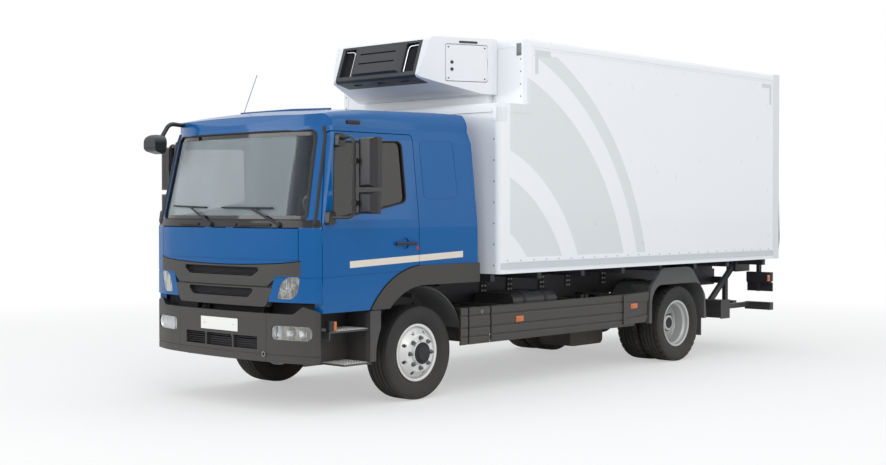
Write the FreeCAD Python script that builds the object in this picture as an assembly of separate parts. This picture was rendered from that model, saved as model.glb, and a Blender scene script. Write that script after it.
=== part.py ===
import FreeCAD, Part
import math
import os

V = FreeCAD.Vector

# Refrigerated two-axle truck. Millimetres, Z up from the ground, front towards -Y, +X is the vehicle's left.
# Every Y below is measured from the front axle; save() moves the whole to the middle of its length.

# Overall
WHEELBASE = 4220
FRONT_OVERHANG = 1430
REAR_OVERHANG = 2200

# Wheels and tyres
TYRE_RADIUS = 430
TYRE_WIDTH = 262
HUB_Z = TYRE_RADIUS
BEAD_RADIUS = 248
FLANGE_RADIUS = 262
RIM_HALF = 105
DISC_FACE = 147
DISC_WALL = 10
BORE_RADIUS = 110.5
HAND_HOLES = 8
FRONT_TRACK_HALF = 954
DUAL_SPACING = 294
REAR_OUTER_X = 1017
SPINDLE_RADIUS = 45
SPINDLE_CLEARANCE = 0.5
AXLE_STUB_RADIUS = 50
KINGPIN_RADIUS = 22
KINGPIN_BOSS = 40
KINGPIN_X = 790
DRUM_RADIUS = 165

# Chassis
RAIL_OUTER = 450
RAIL_FLANGE = 70
RAIL_WEB = 8
RAIL_LOW = 770
RAIL_HIGH = 970
RAIL_FRONT = -1180
RAIL_REAR = WHEELBASE + 1930
CROSS_DEPTH = 60
CROSS_MEMBERS = (RAIL_FRONT, 1150, 2500, WHEELBASE - 770, WHEELBASE + 630, RAIL_REAR - CROSS_DEPTH)
SUBFRAME_HIGH = 1040
BEARER_COUNT = 8
BEARER_WIDTH = 60
SPRING_WIDTH = 70
SPRING_LEAVES = 34
SPRING_HALF_SPAN = 620
AXLE_TUBE_RADIUS = 60

# Cab
CAB_HALF = 1147.5
CORNER_BACK = 190
CAB_WALL = 50
CAB_BOTTOM = 860
CAB_WAIST = 1600
CAB_SHOULDER_HALF = 1100
CAB_SHOULDER = 2350
CAB_GUTTER_HALF = 1062
CAB_GUTTER = 2450
CAB_REAR = 745
CAB_TOP = 2680
CAB_FLOOR_LOW = 1120
CAB_FLOOR = 50
CAB_DECK = CAB_FLOOR_LOW + CAB_FLOOR
TILT_PIVOT = (-1330, 790)
TILT_PIN = 15
TILT_EAR_X = (455, 475)
HINGE_BARREL = 8
HINGE_LENGTH = 60
CORNER_BOTTOM = 945
GRILLE_BOTTOM = 900
GRILLE_TOP = 1250
GRILLE_HALF = 975
GRILLE_RECESS = 22
GRILLE_SHOULDER = (1168, 712)
GRILLE_FOOT = (850, 600)
LID_BOTTOM = 1258
LID_TOP = 1572
LID_HALF = 950
LID_WALL = 25
LID_HINGE = (-1425, 1574.5)
LID_BARREL = 5
LID_SLOPE = 10 / 23
CREASE = 4
LID_CREASE_Z = 1300
SIDE_CREASE_Z = 1152
SIDE_CREASE_RISE = 0.025
SCREEN_BOTTOM = 1645
SCREEN_TOP = 2410
SCREEN_HALF_LOW = 1005
SCREEN_HALF_HIGH = 960
SCREEN_LEAN = 165
SCREEN_STEP = 30
GLASS_INSET = 12
GLASS = 6
PANEL_GAP = 7
SEAT_GAP = 0.3

# Doors
DOOR_FRONT = -1232
DOOR_FRONT_HIGH = -1094
DOOR_REAR = -65
DOOR_REAR_HIGH = -107
DOOR_TOP = 2400
DOOR_HINGES = (980, 1440)
RECESS = [(-13, 2352, 45), (432, 2369, 45), (480, 1839, 60), (19, 1828, 60)]
RECESS_DEPTH = 6
WINDOW = [(-1058, 2314, 40), (-246, 2340, 60), (-215, 1800, 60), (-560, 1735, 300), (-1116, 1650, 45)]

# Wheel arch of the cab
ARCH_OUTER = 800
ARCH_INNER = 620
ARCH_PROUD = 12
ARCH_BAND_LOW = HUB_Z + ARCH_INNER
ARCH_BAND_HIGH = HUB_Z + ARCH_OUTER
ARCH_REAR = 759

# Bumper
BUMPER_LOW = 430
BUMPER_HIGH = 845
BUMPER_SHOULDER = 925
BUMPER_WALL = 45
BUMPER_END = -1250
TILT_EAR_ROOM = (447, 483, 805, 860)
BUMPER_OPENING_HALF = 500
BUMPER_OPENING = (530, 640)
BUMPER_LAMP = (670, 1075, 625, 745)
PLATE_HALF = 260
PLATE_HEIGHT = 112
PLATE_Z = 725
PLATE_SEAT = 6
PLATE_SCREWS = 400
SOCKET_X = 580
SOCKET_Z = 495
SOCKET_RADIUS = 24
SOCKET_BORE = 15
SOCKET_DEPTH = 60

# Body
BOX_HALF = 1300
BOX_LOW = 1118
BOX_HIGH = 3390
BOX_FRONT = 877.5
BOX_UPPER_FRONT = 1278.5
BOX_LEDGE = BOX_HIGH - 643.5
BOX_REAR = WHEELBASE + 2035.5
BOX_SIDE_WALL = 60
BOX_FRONT_WALL = 70
BOX_ROOF = 80
BOX_FLOOR = 110
BOX_CORNER = 60
REAR_POST = 110
REAR_POST_DEPTH = 140
DOOR_LEAF = 80
PANEL_DEPTH = 4
PROFILE_WIDTH = 100
BASE_RAIL = 145

# Refrigeration unit
UNIT_HALF_FRONT = 600
UNIT_HALF_REAR = 930
UNIT_FRONT_HIGH = 620
UNIT_KINK = 495
UNIT_KINK_Z = BOX_HIGH - 360
UNIT_CHIN_Z = BOX_HIGH - 430
UNIT_CHIN_REAR = 690
UNIT_LOW = BOX_HIGH - 530
UNIT_HIGH = BOX_HIGH + 10
UNIT_WALL = 25
UNIT_FACE_HALF = 560
UNIT_CENTRE_HALF = 335
UNIT_CENTRE_PROUD = 28
HATCH = (760, 1160, BOX_HIGH - 410, BOX_HIGH - 60)
HATCH_HINGE = (903.5, 1163.5)
HATCH_BARRELS = (BOX_HIGH - 390, BOX_HIGH - 190)

# Skirts, tank, battery
SKIRT_X = 1150
SKIRT_WALL = 20
SKIRT_LOW = 460
SKIRT_HIGH = 810
SKIRT_GROOVES = (532, 616, 728)
SKIRT_FRONT = 940
SKIRT_REAR = WHEELBASE - 620
BRACKET_LOW = 790
BRACKET_HIGH = 808
BATTERY = (620, 920)
TANK = (1400, 2100)

# Tail lift
LIFT_BEAM = (WHEELBASE + 1000, WHEELBASE + 1190, 425, 635)
LIFT_PIVOT = (WHEELBASE + 1250, 600)
LIFT_HEAD_PIVOT = (WHEELBASE + 1840, 1050)
LINK_OFFSET = (-20, -90)
ARM_X = (775, 815)
LINK_X = (725, 765)
ARM_HEIGHT = 70
LINK_HEIGHT = 40
PIN_RADIUS = 12
FOLD_PIVOT = (WHEELBASE + 2152, 1068)
PLATFORM_INNER = FOLD_PIVOT[0] - 40
PLATFORM_LOW = 1130
PLATFORM_HIGH = 2760
PLATFORM_HALF = 1225
PLATFORM_SKIN = 45
PLATFORM_WALL = 8
PLATFORM_CELLS = 9

# Door mirrors
MIRROR_TUBE = (1300, -1015)
MIRROR_TUBE_RADIUS = 13
MIRROR_REACH = 205
MIRROR_HEAD = (1922, 2340)
MIRROR_SMALL = (1697, 1882)
MIRROR_CLAMPS = (2141, 1788)
MIRROR_MOUNTS = (1665, 2325)

# Kerb mirror over the far front corner
KERB_MIRROR_REACH = 95

LENGTH_MIDDLE = (WHEELBASE + REAR_OVERHANG - FRONT_OVERHANG - KERB_MIRROR_REACH) / 2


def box(x0, x1, y0, y1, z0, z1):
    """Block between two corners."""
    return Part.makeBox(x1 - x0, y1 - y0, z1 - z0, V(x0, y0, z0))


def rod(start, end, radius):
    """Round bar from one point to another."""
    a, b = V(*start), V(*end)
    return Part.makeCylinder(radius, (b - a).Length, a, b - a)


def rounded_wire(points, place):
    """Closed outline through (u, v) or (u, v, radius) corners, each radius a tangent arc."""
    count = len(points)
    corners = []
    for index, point in enumerate(points):
        here = V(point[0], point[1], 0)
        radius = point[2] if len(point) > 2 else 0
        if not radius:
            corners.append((here, None, here))
            continue
        back = V(*points[index - 1][:2], 0) - here
        ahead = V(*points[(index + 1) % count][:2], 0) - here
        back.normalize()
        ahead.normalize()
        half = back.getAngle(ahead) / 2
        reach = radius / math.tan(half)
        inward = back + ahead
        inward.normalize()
        middle = here + inward * (radius / math.sin(half) - radius)
        corners.append((here + back * reach, middle, here + ahead * reach))
    edges = []
    for index, (start, middle, end) in enumerate(corners):
        if middle is not None:
            edges.append(Part.Arc(place(start), place(middle), place(end)).toShape())
        following = corners[(index + 1) % count][0]
        if (following - end).Length > 1e-6:
            edges.append(Part.LineSegment(place(end), place(following)).toShape())
    return Part.Wire(edges)


def prism_x(points, x0, x1):
    """Outline in Y and Z, drawn out along X."""
    face = Part.Face(rounded_wire(points, lambda p: V(x0, p.x, p.y)))
    return face.extrude(V(x1 - x0, 0, 0))


def prism_y(points, y0, y1):
    """Outline in X and Z, drawn out along Y."""
    face = Part.Face(rounded_wire(points, lambda p: V(p.x, y0, p.y)))
    return face.extrude(V(0, y1 - y0, 0))


def prism_z(points, z0, z1):
    """Outline in X and Y, drawn out along Z."""
    face = Part.Face(rounded_wire(points, lambda p: V(p.x, p.y, z0)))
    return face.extrude(V(0, 0, z1 - z0))


def turned(points):
    """Outline of (x, radius) corners, turned about the X axis."""
    face = Part.Face(rounded_wire(points, lambda p: V(p.x, 0, p.y)))
    return face.revolve(V(0, 0, 0), V(1, 0, 0), 360)


def tube(points, radius, bend):
    """Bent round tube through the points, with an arc of radius bend at each turn."""
    path = [V(*p) for p in points]
    edges = []
    start = path[0]
    for index in range(1, len(path) - 1):
        here = path[index]
        back, ahead = path[index - 1] - here, path[index + 1] - here
        back.normalize()
        ahead.normalize()
        half = back.getAngle(ahead) / 2
        reach = bend / math.tan(half)
        inward = back + ahead
        inward.normalize()
        enter, leave = here + back * reach, here + ahead * reach
        edges.append(Part.LineSegment(start, enter).toShape())
        edges.append(Part.Arc(enter, here + inward * (bend / math.sin(half) - bend), leave).toShape())
        start = leave
    edges.append(Part.LineSegment(start, path[-1]).toShape())
    direction = path[1] - path[0]
    ring = Part.Wire([Part.Circle(path[0], direction, radius).toShape()])
    pipe = Part.Wire(edges).makePipeShell([ring], True, True)
    return pipe if pipe.Volume > 0 else pipe.reversed()


def mirrored(shape):
    """The same piece on the other side of the vehicle."""
    return shape.mirror(V(0, 0, 0), V(1, 0, 0))


def both(shape):
    """A piece and its mirror image, as two solids."""
    return [shape, mirrored(shape)]


def joined(shapes):
    """One solid from pieces that touch or overlap."""
    first = shapes[0]
    return first.fuse(shapes[1:]).removeSplitter() if len(shapes) > 1 else first


def save(name, *shapes):
    """Write one sub-part, moved so that the origin lies under the middle of the vehicle."""
    solids = []
    for shape in shapes:
        solids.extend(shape.Solids)
    whole = solids[0] if len(solids) == 1 else Part.makeCompound(solids)
    whole = whole.copy()
    whole.translate(V(0, -LENGTH_MIDDLE, 0))
    whole.exportStep("parts/%s.step" % name)


# Cab body: one lofted form, cut into its panels

def front_curve(half, front, z):
    """Edges of the front of the cab or bumper in plan, from its right side to its left."""
    def at(share, back):
        return V(half * share, front + back, z)
    return [
        Part.Arc(at(-1, CORNER_BACK), at(-0.978, 164), at(-0.935, 141)).toShape(),
        Part.Arc(at(-0.935, 141), at(-0.8, 85), at(-0.61, 42)).toShape(),
        Part.Arc(at(-0.61, 42), at(0, 0), at(0.61, 42)).toShape(),
        Part.Arc(at(0.61, 42), at(0.8, 85), at(0.935, 141)).toShape(),
        Part.Arc(at(0.935, 141), at(0.978, 164), at(1, CORNER_BACK)).toShape(),
    ]


def plan_wire(half, front, rear, z):
    """Closed plan outline with the curved front."""
    edges = front_curve(half, front, z)
    left, right = V(half, rear, z), V(-half, rear, z)
    edges.append(Part.LineSegment(V(half, front + CORNER_BACK, z), left).toShape())
    edges.append(Part.LineSegment(left, right).toShape())
    edges.append(Part.LineSegment(right, V(-half, front + CORNER_BACK, z)).toShape())
    return Part.Wire(edges)


def cab_solid(inset):
    """The whole outside of the cab below the gutter, drawn in by inset."""
    levels = [
        (CAB_BOTTOM, CAB_HALF, 0, CAB_REAR),
        (LID_TOP, CAB_HALF, 0, CAB_REAR - 9),
        (SCREEN_BOTTOM, CAB_HALF - 3, SCREEN_STEP, CAB_REAR - 12),
        (CAB_SHOULDER, CAB_SHOULDER_HALF, SCREEN_STEP + SCREEN_LEAN * 0.91, CAB_REAR - 50),
        (CAB_GUTTER, CAB_GUTTER_HALF, SCREEN_STEP + SCREEN_LEAN, CAB_REAR - 60),
    ]
    wires = []
    for z, half, back, rear in levels:
        wires.append(plan_wire(half - inset, back + inset - FRONT_OVERHANG, rear - inset, z))
    return Part.makeLoft(wires, True, True)


def cab_half_at(z):
    """Half the cab's width at a height between its waist and its shoulder."""
    share = max(0, (z - SCREEN_BOTTOM) / (CAB_SHOULDER - SCREEN_BOTTOM))
    return CAB_HALF - 3 + (CAB_SHOULDER_HALF - CAB_HALF + 3) * share if share else CAB_HALF


def arch_disc(radius, x0, x1):
    """Disc about the front wheel's axis, for cutting and making the arch."""
    return rod((x0, 0, HUB_Z), (x1, 0, HUB_Z), radius)


def door_outline(grow):
    """Door edge in side view, grown outwards by grow, without its arch."""
    return [
        (DOOR_FRONT - grow, CAB_BOTTOM - 100),
        (DOOR_REAR + grow, CAB_BOTTOM - 100),
        (DOOR_REAR + grow, CAB_WAIST),
        (DOOR_REAR_HIGH + grow, DOOR_TOP + grow, 30),
        (DOOR_FRONT_HIGH - grow, DOOR_TOP + grow, 50),
        (DOOR_FRONT - grow, CAB_WAIST),
    ]


def door_block(grow):
    """Volume that a left door takes out of the cab's side."""
    block = prism_x(door_outline(grow), CAB_HALF - 150, CAB_HALF + 50)
    return block.cut(arch_disc(ARCH_OUTER + PANEL_GAP - grow, CAB_HALF - 200, CAB_HALF + 100))


def door_barrels(side, grow):
    """Hinge barrels on the door's or the frame's side of both doors, grown for their reliefs."""
    shift = 0 if side == "door" else HINGE_LENGTH
    x, y = CAB_HALF, DOOR_FRONT - PANEL_GAP / 2
    barrels = []
    for z in DOOR_HINGES:
        low, high = z + shift, z + shift + HINGE_LENGTH
        barrels += both(rod((x, y, low + SEAT_GAP - grow), (x, y, high - SEAT_GAP + grow), HINGE_BARREL + grow))
    return barrels


def groove(points, depth):
    """Ring of the cab's skin, depth thick, inside an outline in Y and Z."""
    return cab_outer.cut(cab_solid(depth)).common(prism_x(points, -2000, 2000))


def grille_edge(grow):
    """Outline of the grille between the corner panels, seen from the front, grown by grow."""
    wide = GRILLE_HALF - SEAT_GAP + grow
    step_z, step_x = GRILLE_SHOULDER
    foot_z, foot_x = GRILLE_FOOT
    half = [(wide, 1500), (wide, step_z - grow), (step_x + grow, step_z - grow, 25), (foot_x + grow, foot_z)]
    return half + [(-point[0], *point[1:]) for point in reversed(half)]


def lamp_edge(shrink):
    """Outline of the left corner lamp, seen from the front."""
    return [(738 + shrink, 975 + shrink, 15), (935, 975 + shrink, 90), (968 - shrink, 1160 - shrink, 20),
            (850, 1160 - shrink, 60), (780 + shrink, 1110, 60)]


def under_slope(height, low, half):
    """Volume at the cab's front below a parting line that rises backwards from height, down to low."""
    return prism_x([(-2000, low), (-1150, low), (-1150, height + (FRONT_OVERHANG - 1150) * LID_SLOPE),
                    (-2000, height + (FRONT_OVERHANG - 2000) * LID_SLOPE)], -half, half)


def screen_outline(shrink):
    """Windscreen opening seen from the front."""
    low, high = SCREEN_HALF_LOW - shrink, SCREEN_HALF_HIGH - shrink
    bottom, top = SCREEN_BOTTOM + shrink, SCREEN_TOP - shrink
    return [(-low, bottom, 50), (low, bottom, 50), (high, top, 70), (-high, top, 70)]


def roof_section(y, centre, edge, half):
    """Cross-section of the roof: a crown that rolls down into the gutter."""
    low = V(half, y, CAB_GUTTER)
    shoulder = V(half - 62, y, edge)
    edges = [
        Part.LineSegment(V(-half, y, CAB_GUTTER), low).toShape(),
        Part.Arc(low, V(half - 12, y, CAB_GUTTER + (edge - CAB_GUTTER) * 0.6), shoulder).toShape(),
        Part.Arc(shoulder, V(0, y, centre), V(62 - half, y, edge)).toShape(),
        Part.Arc(V(62 - half, y, edge), V(12 - half, y, CAB_GUTTER + (edge - CAB_GUTTER) * 0.6),
                 V(-half, y, CAB_GUTTER)).toShape(),
    ]
    return Part.Wire(edges)


def roof_solid(inset):
    """Roof above the gutter, drawn in by inset."""
    half = CAB_GUTTER_HALF - inset
    front = SCREEN_STEP + SCREEN_LEAN - FRONT_OVERHANG + inset
    rear = CAB_REAR - 65 - inset
    top = CAB_TOP - inset
    sections = [
        roof_section(front, CAB_GUTTER + 32, CAB_GUTTER + 18, half),
        roof_section(front + 70, top - 118, top - 140, half),
        roof_section(front + 240, top - 72, top - 106, half),
        roof_section(front + 720, top - 28, top - 74, half),
        roof_section(rear - 250, top, top - 54, half),
        roof_section(rear, top - 6, top - 58, half),
    ]
    crown = Part.makeLoft(sections, True, True)
    plan = Part.Face(plan_wire(half, front, rear, CAB_GUTTER)).extrude(V(0, 0, CAB_TOP - CAB_GUTTER))
    return crown.common(plan)


cab_outer = cab_solid(0)
cab_shell = cab_outer.cut(cab_solid(CAB_WALL))
skin_lid = cab_outer.cut(cab_solid(LID_WALL))
door_space = [door_block(PANEL_GAP), mirrored(door_block(PANEL_GAP))]
arch_space = arch_disc(ARCH_OUTER, -CAB_HALF - 50, CAB_HALF + 50)
side_crease = groove([(-1400, SIDE_CREASE_Z), (-300, SIDE_CREASE_Z + 1100 * SIDE_CREASE_RISE),
                      (-300, SIDE_CREASE_Z + 1100 * SIDE_CREASE_RISE + 8), (-1400, SIDE_CREASE_Z + 8)], CREASE)
band_space = box(-CAB_HALF - 50, CAB_HALF + 50, 0, CAB_REAR + 50, CAB_BOTTOM - 50, ARCH_BAND_HIGH)


def make_cab():
    """Panels, glass, lamps and trim of the tilting cab."""
    front_zone = box(-2000, 2000, -2000, DOOR_FRONT + 400, CORNER_BOTTOM, CAB_GUTTER)
    lid_space = prism_y([(-LID_HALF - PANEL_GAP, LID_BOTTOM - PANEL_GAP), (LID_HALF + PANEL_GAP, LID_BOTTOM - PANEL_GAP),
                         (LID_HALF + PANEL_GAP, LID_TOP + 9), (-LID_HALF - PANEL_GAP, LID_TOP + 9)], -2000, -1150)
    grille_space = under_slope(LID_BOTTOM, 0, GRILLE_HALF).common(prism_y(grille_edge(SEAT_GAP), -2000, -1150))
    lamp_space = prism_y(lamp_edge(0), -2000, -1150)
    screen_space = prism_y(screen_outline(0), -2000, -950)
    frame = cab_shell.common(front_zone).cut(door_space + [lid_space, grille_space, screen_space])
    frame = frame.cut([lamp_space, mirrored(lamp_space), side_crease])

    lid = skin_lid.common(box(-LID_HALF, LID_HALF, -2000, -1150, LID_BOTTOM - 100, LID_TOP))
    lid = lid.cut(under_slope(LID_BOTTOM, 0, LID_HALF + 1))
    lid = lid.cut(groove([(-2000, LID_CREASE_Z), (-1150, LID_CREASE_Z), (-1150, LID_CREASE_Z + 8),
                          (-2000, LID_CREASE_Z + 8)], CREASE))
    lid_barrels, lid_reliefs = [], []
    for x in (-200, 150):
        lid_barrels.append(rod((x, *LID_HINGE), (x + 50 - SEAT_GAP, *LID_HINGE), LID_BARREL))
        lid_reliefs.append(rod((x - SEAT_GAP, *LID_HINGE), (x + 50, *LID_HINGE), LID_BARREL + 1))
    frame_barrels = []
    y, z = LID_HINGE
    for x in (-150, 100):
        frame_barrels.append(rod((x, y, z), (x + 50 - SEAT_GAP, y, z), LID_BARREL))
        frame_barrels.append(box(x, x + 50 - SEAT_GAP, y - 3, y + 3, z, LID_TOP + 11))
    frame_reliefs = [rod((x - SEAT_GAP, *LID_HINGE), (x + 50, *LID_HINGE), LID_BARREL + 1) for x in (-150, 100)]
    save("front_lid", joined([lid.cut(frame_reliefs)] + lid_barrels))
    frame = joined([frame.cut(lid_reliefs)] + frame_barrels)
    frame = frame.cut(door_barrels("door", 1))
    save("front_frame", joined([frame] + door_barrels("frame", 0)))

    glass_skin = cab_solid(GLASS_INSET).cut(cab_solid(GLASS_INSET + GLASS))
    save("windscreen", glass_skin.common(prism_y(screen_outline(SEAT_GAP), -2000, -950)))

    zone = under_slope(GRILLE_TOP, GRILLE_BOTTOM, GRILLE_HALF).common(prism_y(grille_edge(0), -2000, -1150))
    upper_bar = [(-1000, 1500), (-1000, 1168), (-745, 1168, 40), (-620, 1078, 40), (620, 1078, 40), (745, 1168, 40),
                 (1000, 1168), (1000, 1500)]
    upper_opening = [(-570, 1236, 20), (-440, 1160, 40), (440, 1160, 40), (570, 1236, 20)]
    lower_bar = [(-690, 1066, 20), (-600, GRILLE_BOTTOM, 50), (600, GRILLE_BOTTOM, 50), (690, 1066, 20)]
    lower_opening = [(-480, 1054, 20), (-385, 975, 40), (385, 975, 40), (480, 1054, 20)]
    bars = [prism_y(bar_edge, -2000, -1150) for bar_edge in (upper_bar, lower_bar)]
    openings = [prism_y(edge, -2000, -1150) for edge in (upper_opening, lower_opening)]
    plate = cab_solid(GRILLE_RECESS).cut(cab_solid(CAB_WALL)).common(zone)
    raised = [cab_shell.common(zone).common(shape) for shape in bars]
    save("grille", joined([plate] + raised).cut(openings))
    lamp = cab_shell.common(prism_y(lamp_edge(SEAT_GAP), -2000, -1150))
    save("cab_lamps", *both(lamp))

    rear_zone = box(-2000, 2000, DOOR_REAR_HIGH - 200, 2000, CAB_BOTTOM, CAB_GUTTER)
    rear = cab_shell.common(rear_zone).cut(door_space + [arch_space, band_space])
    rear = rear.cut(box(-CAB_HALF + CAB_WALL + 1, CAB_HALF - CAB_WALL - 1, 0, 2000, 0, CAB_FLOOR_LOW + CAB_FLOOR))
    header = cab_shell.common(box(-2000, 2000, DOOR_FRONT, CAB_REAR, DOOR_TOP + PANEL_GAP, CAB_GUTTER))
    rear = joined([rear, header.cut(front_zone)])
    rear = rear.cut(groove(RECESS, RECESS_DEPTH))
    save("cab_side_shell", rear)

    hatch = prism_x([(-880, 2590), (-880, 2634, 8), (-380, 2672, 8), (-380, 2630)], -330, 330)
    roof = joined([roof_solid(0).cut(roof_solid(40)), hatch])
    antenna = rod((-440, -800, CAB_TOP - 80), (-470, -600, CAB_TOP + 330), 3)
    save("cab_roof", joined([roof, rod((-440, -800, CAB_TOP - 120), (-440, -800, CAB_TOP - 40), 20), antenna]))

    floor_half = CAB_HALF - CAB_WALL - SEAT_GAP
    floor_plan = Part.Face(plan_wire(floor_half, -FRONT_OVERHANG + 130, CAB_REAR - SEAT_GAP, CAB_FLOOR_LOW))
    floor = floor_plan.extrude(V(0, 0, CAB_FLOOR))
    firewall = Part.Face(plan_wire(floor_half - 60, -FRONT_OVERHANG + 90, -1100, CAB_FLOOR_LOW))
    firewall = firewall.extrude(V(0, 0, SCREEN_BOTTOM - CAB_FLOOR_LOW - 40))
    firewall = firewall.cut(firewall.copy().translated(V(0, 45, 0)))
    y, z = TILT_PIVOT
    ear = prism_x([(y, z + 28), (y + 125, CAB_FLOOR_LOW + 1), (y + 215, CAB_FLOOR_LOW + 1), (y + 28, z - 5)], *TILT_EAR_X)
    ear = joined([ear, rod((TILT_EAR_X[0], y, z), (TILT_EAR_X[1], y, z), 28)])
    ear = ear.cut(rod((0, y, z), (2000, y, z), TILT_PIN + SPINDLE_CLEARANCE))
    locker = box(-1000, 1000, 380, 650, CAB_FLOOR_LOW + CAB_FLOOR - 1, 1480)
    save("cab_floor", joined([floor, firewall, locker, ear, mirrored(ear)]))

    flare = arch_disc(ARCH_OUTER, CAB_HALF - CAB_WALL, CAB_HALF + ARCH_PROUD)
    band = box(CAB_HALF - CAB_WALL, CAB_HALF + ARCH_PROUD, 0, ARCH_REAR, ARCH_BAND_LOW, ARCH_BAND_HIGH - SEAT_GAP)
    flare = flare.common(box(0, 2000, -1000, 1, CAB_BOTTOM, ARCH_BAND_HIGH - SEAT_GAP))
    flare = joined([flare, band]).cut(arch_disc(ARCH_INNER, 0, 2000))
    save("arch_flares", *both(flare))

    dash = prism_x([(-1100, CAB_DECK + 130), (-900, CAB_DECK + 130, 40), (-850, CAB_DECK + 330, 60),
                    (-930, CAB_DECK + 420, 60), (-1100, CAB_DECK + 430)], -1000, 1000)
    console = box(-70, 70, -1080, -930, CAB_DECK + SEAT_GAP, CAB_DECK + 140)
    column = rod((520, -900, 1450), (520, -700, 1640), 30)
    wheel = Part.makeTorus(215, 16, V(520, -640, 1700), V(0, 0.72, 0.69))
    spokes = rod((310, -640, 1700), (730, -640, 1700), 14)
    boss = rod((520, -720, 1622), (520, -640, 1700), 26)
    save("dashboard", joined([dash, console, column, boss, spokes, wheel]))

    seats = []
    for x in (-560, 560):
        base = box(x - 240, x + 240, -300, 190, CAB_DECK + SEAT_GAP, 1380)
        cushion = box(x - 245, x + 245, -330, 180, 1380 + SEAT_GAP, 1500)
        back = prism_x([(60, 1500 + SEAT_GAP, 20), (180, 1500 + SEAT_GAP, 20), (330, 2180, 50), (230, 2200, 50)], x - 235, x + 235)
        seats += [base, cushion, back]
    save("seats", *seats)
    bunk = box(-1000, 1000, 360, 660, 1480 + SEAT_GAP, 1600)
    save("bunk", bunk)


def make_mirror():
    """Left mirrors: two heads clamped to a bent tube between two mounts on the door's front edge."""
    x, y = MIRROR_TUBE
    reach = MIRROR_REACH
    heads = []
    for low, high, back in ((*MIRROR_HEAD, 0), (*MIRROR_SMALL, 12)):
        plan = [(x + 10, y + 30, 30), (x + reach - 25, y + 25, 60), (x + reach, y + 80, 40),
                (x + reach - 5, y + 140 - back, 10), (x + 10, y + 87 - back, 10)]
        block = prism_z(plan, low, high)
        face = prism_x([(y + 20, low, 45), (y + 150, low, 14), (y + 150, high, 14), (y + 20, high, 45)],
                       x - 10, x + reach + 10)
        heads.append(block.common(face))
    low_z, high_z = MIRROR_MOUNTS
    low_y = DOOR_FRONT + 62
    frame = tube([(cab_half_at(high_z) + 10, y + 5, high_z), (x, y, high_z + 40), (x, y, low_z),
                  (cab_half_at(low_z) + 40, low_y, low_z)], MIRROR_TUBE_RADIUS, 60)
    mounts = []
    for z, middle in ((low_z, low_y), (high_z, y - 5)):
        seat = cab_half_at(z + 60) - 12
        outline = [(middle - 45, z - 60, 20), (middle + 45, z - 60, 25), (middle + 40, z + 55, 40), (middle - 25, z + 65, 30)]
        mounts.append(prism_x(outline, seat, cab_half_at(z) + 52).cut(cab_outer).translated(V(SEAT_GAP, 0, 0)))
    clamps = [joined([rod((x, y, z - 26), (x, y, z + 26), 22), box(x, x + 30, y - 8, y + 50, z - 20, z + 20)])
              for z in MIRROR_CLAMPS]
    return joined([frame] + heads + mounts + clamps)


def make_doors():
    """Doors with their windows, glass and mirrors."""
    window = prism_x(WINDOW, CAB_HALF - 200, CAB_HALF + 50)
    dish = rod((CAB_HALF - 12, -245, 1430), (CAB_HALF + 50, -245, 1430), 52)
    door = cab_shell.common(door_block(0)).cut([window, side_crease, dish])
    glass_skin = cab_solid(GLASS_INSET + 8).cut(cab_solid(GLASS_INSET + 8 + GLASS))
    pane = glass_skin.common(prism_x(WINDOW, CAB_HALF - 200, CAB_HALF + 50))
    handle = joined([prism_z([(CAB_HALF + 8, -375, 6), (CAB_HALF + 24, -345, 20), (CAB_HALF + 24, -140, 20),
                              (CAB_HALF + 8, -110, 6)], 1417, 1445),
                     box(CAB_HALF - 4, CAB_HALF + 9, -372, -335, 1417, 1445),
                     box(CAB_HALF - 4, CAB_HALF + 9, -150, -113, 1417, 1445)])
    door = joined([door.cut([s for s in door_barrels("frame", 1) if s.CenterOfMass.x > 0]), handle]
                  + [s for s in door_barrels("door", 0) if s.CenterOfMass.x > 0])
    mirror = make_mirror()
    for side, turn in (("left", lambda s: s), ("right", mirrored)):
        save("door_" + side, turn(door))
        save("door_glass_" + side, turn(pane))
        save("mirror_" + side, turn(mirror))


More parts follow.
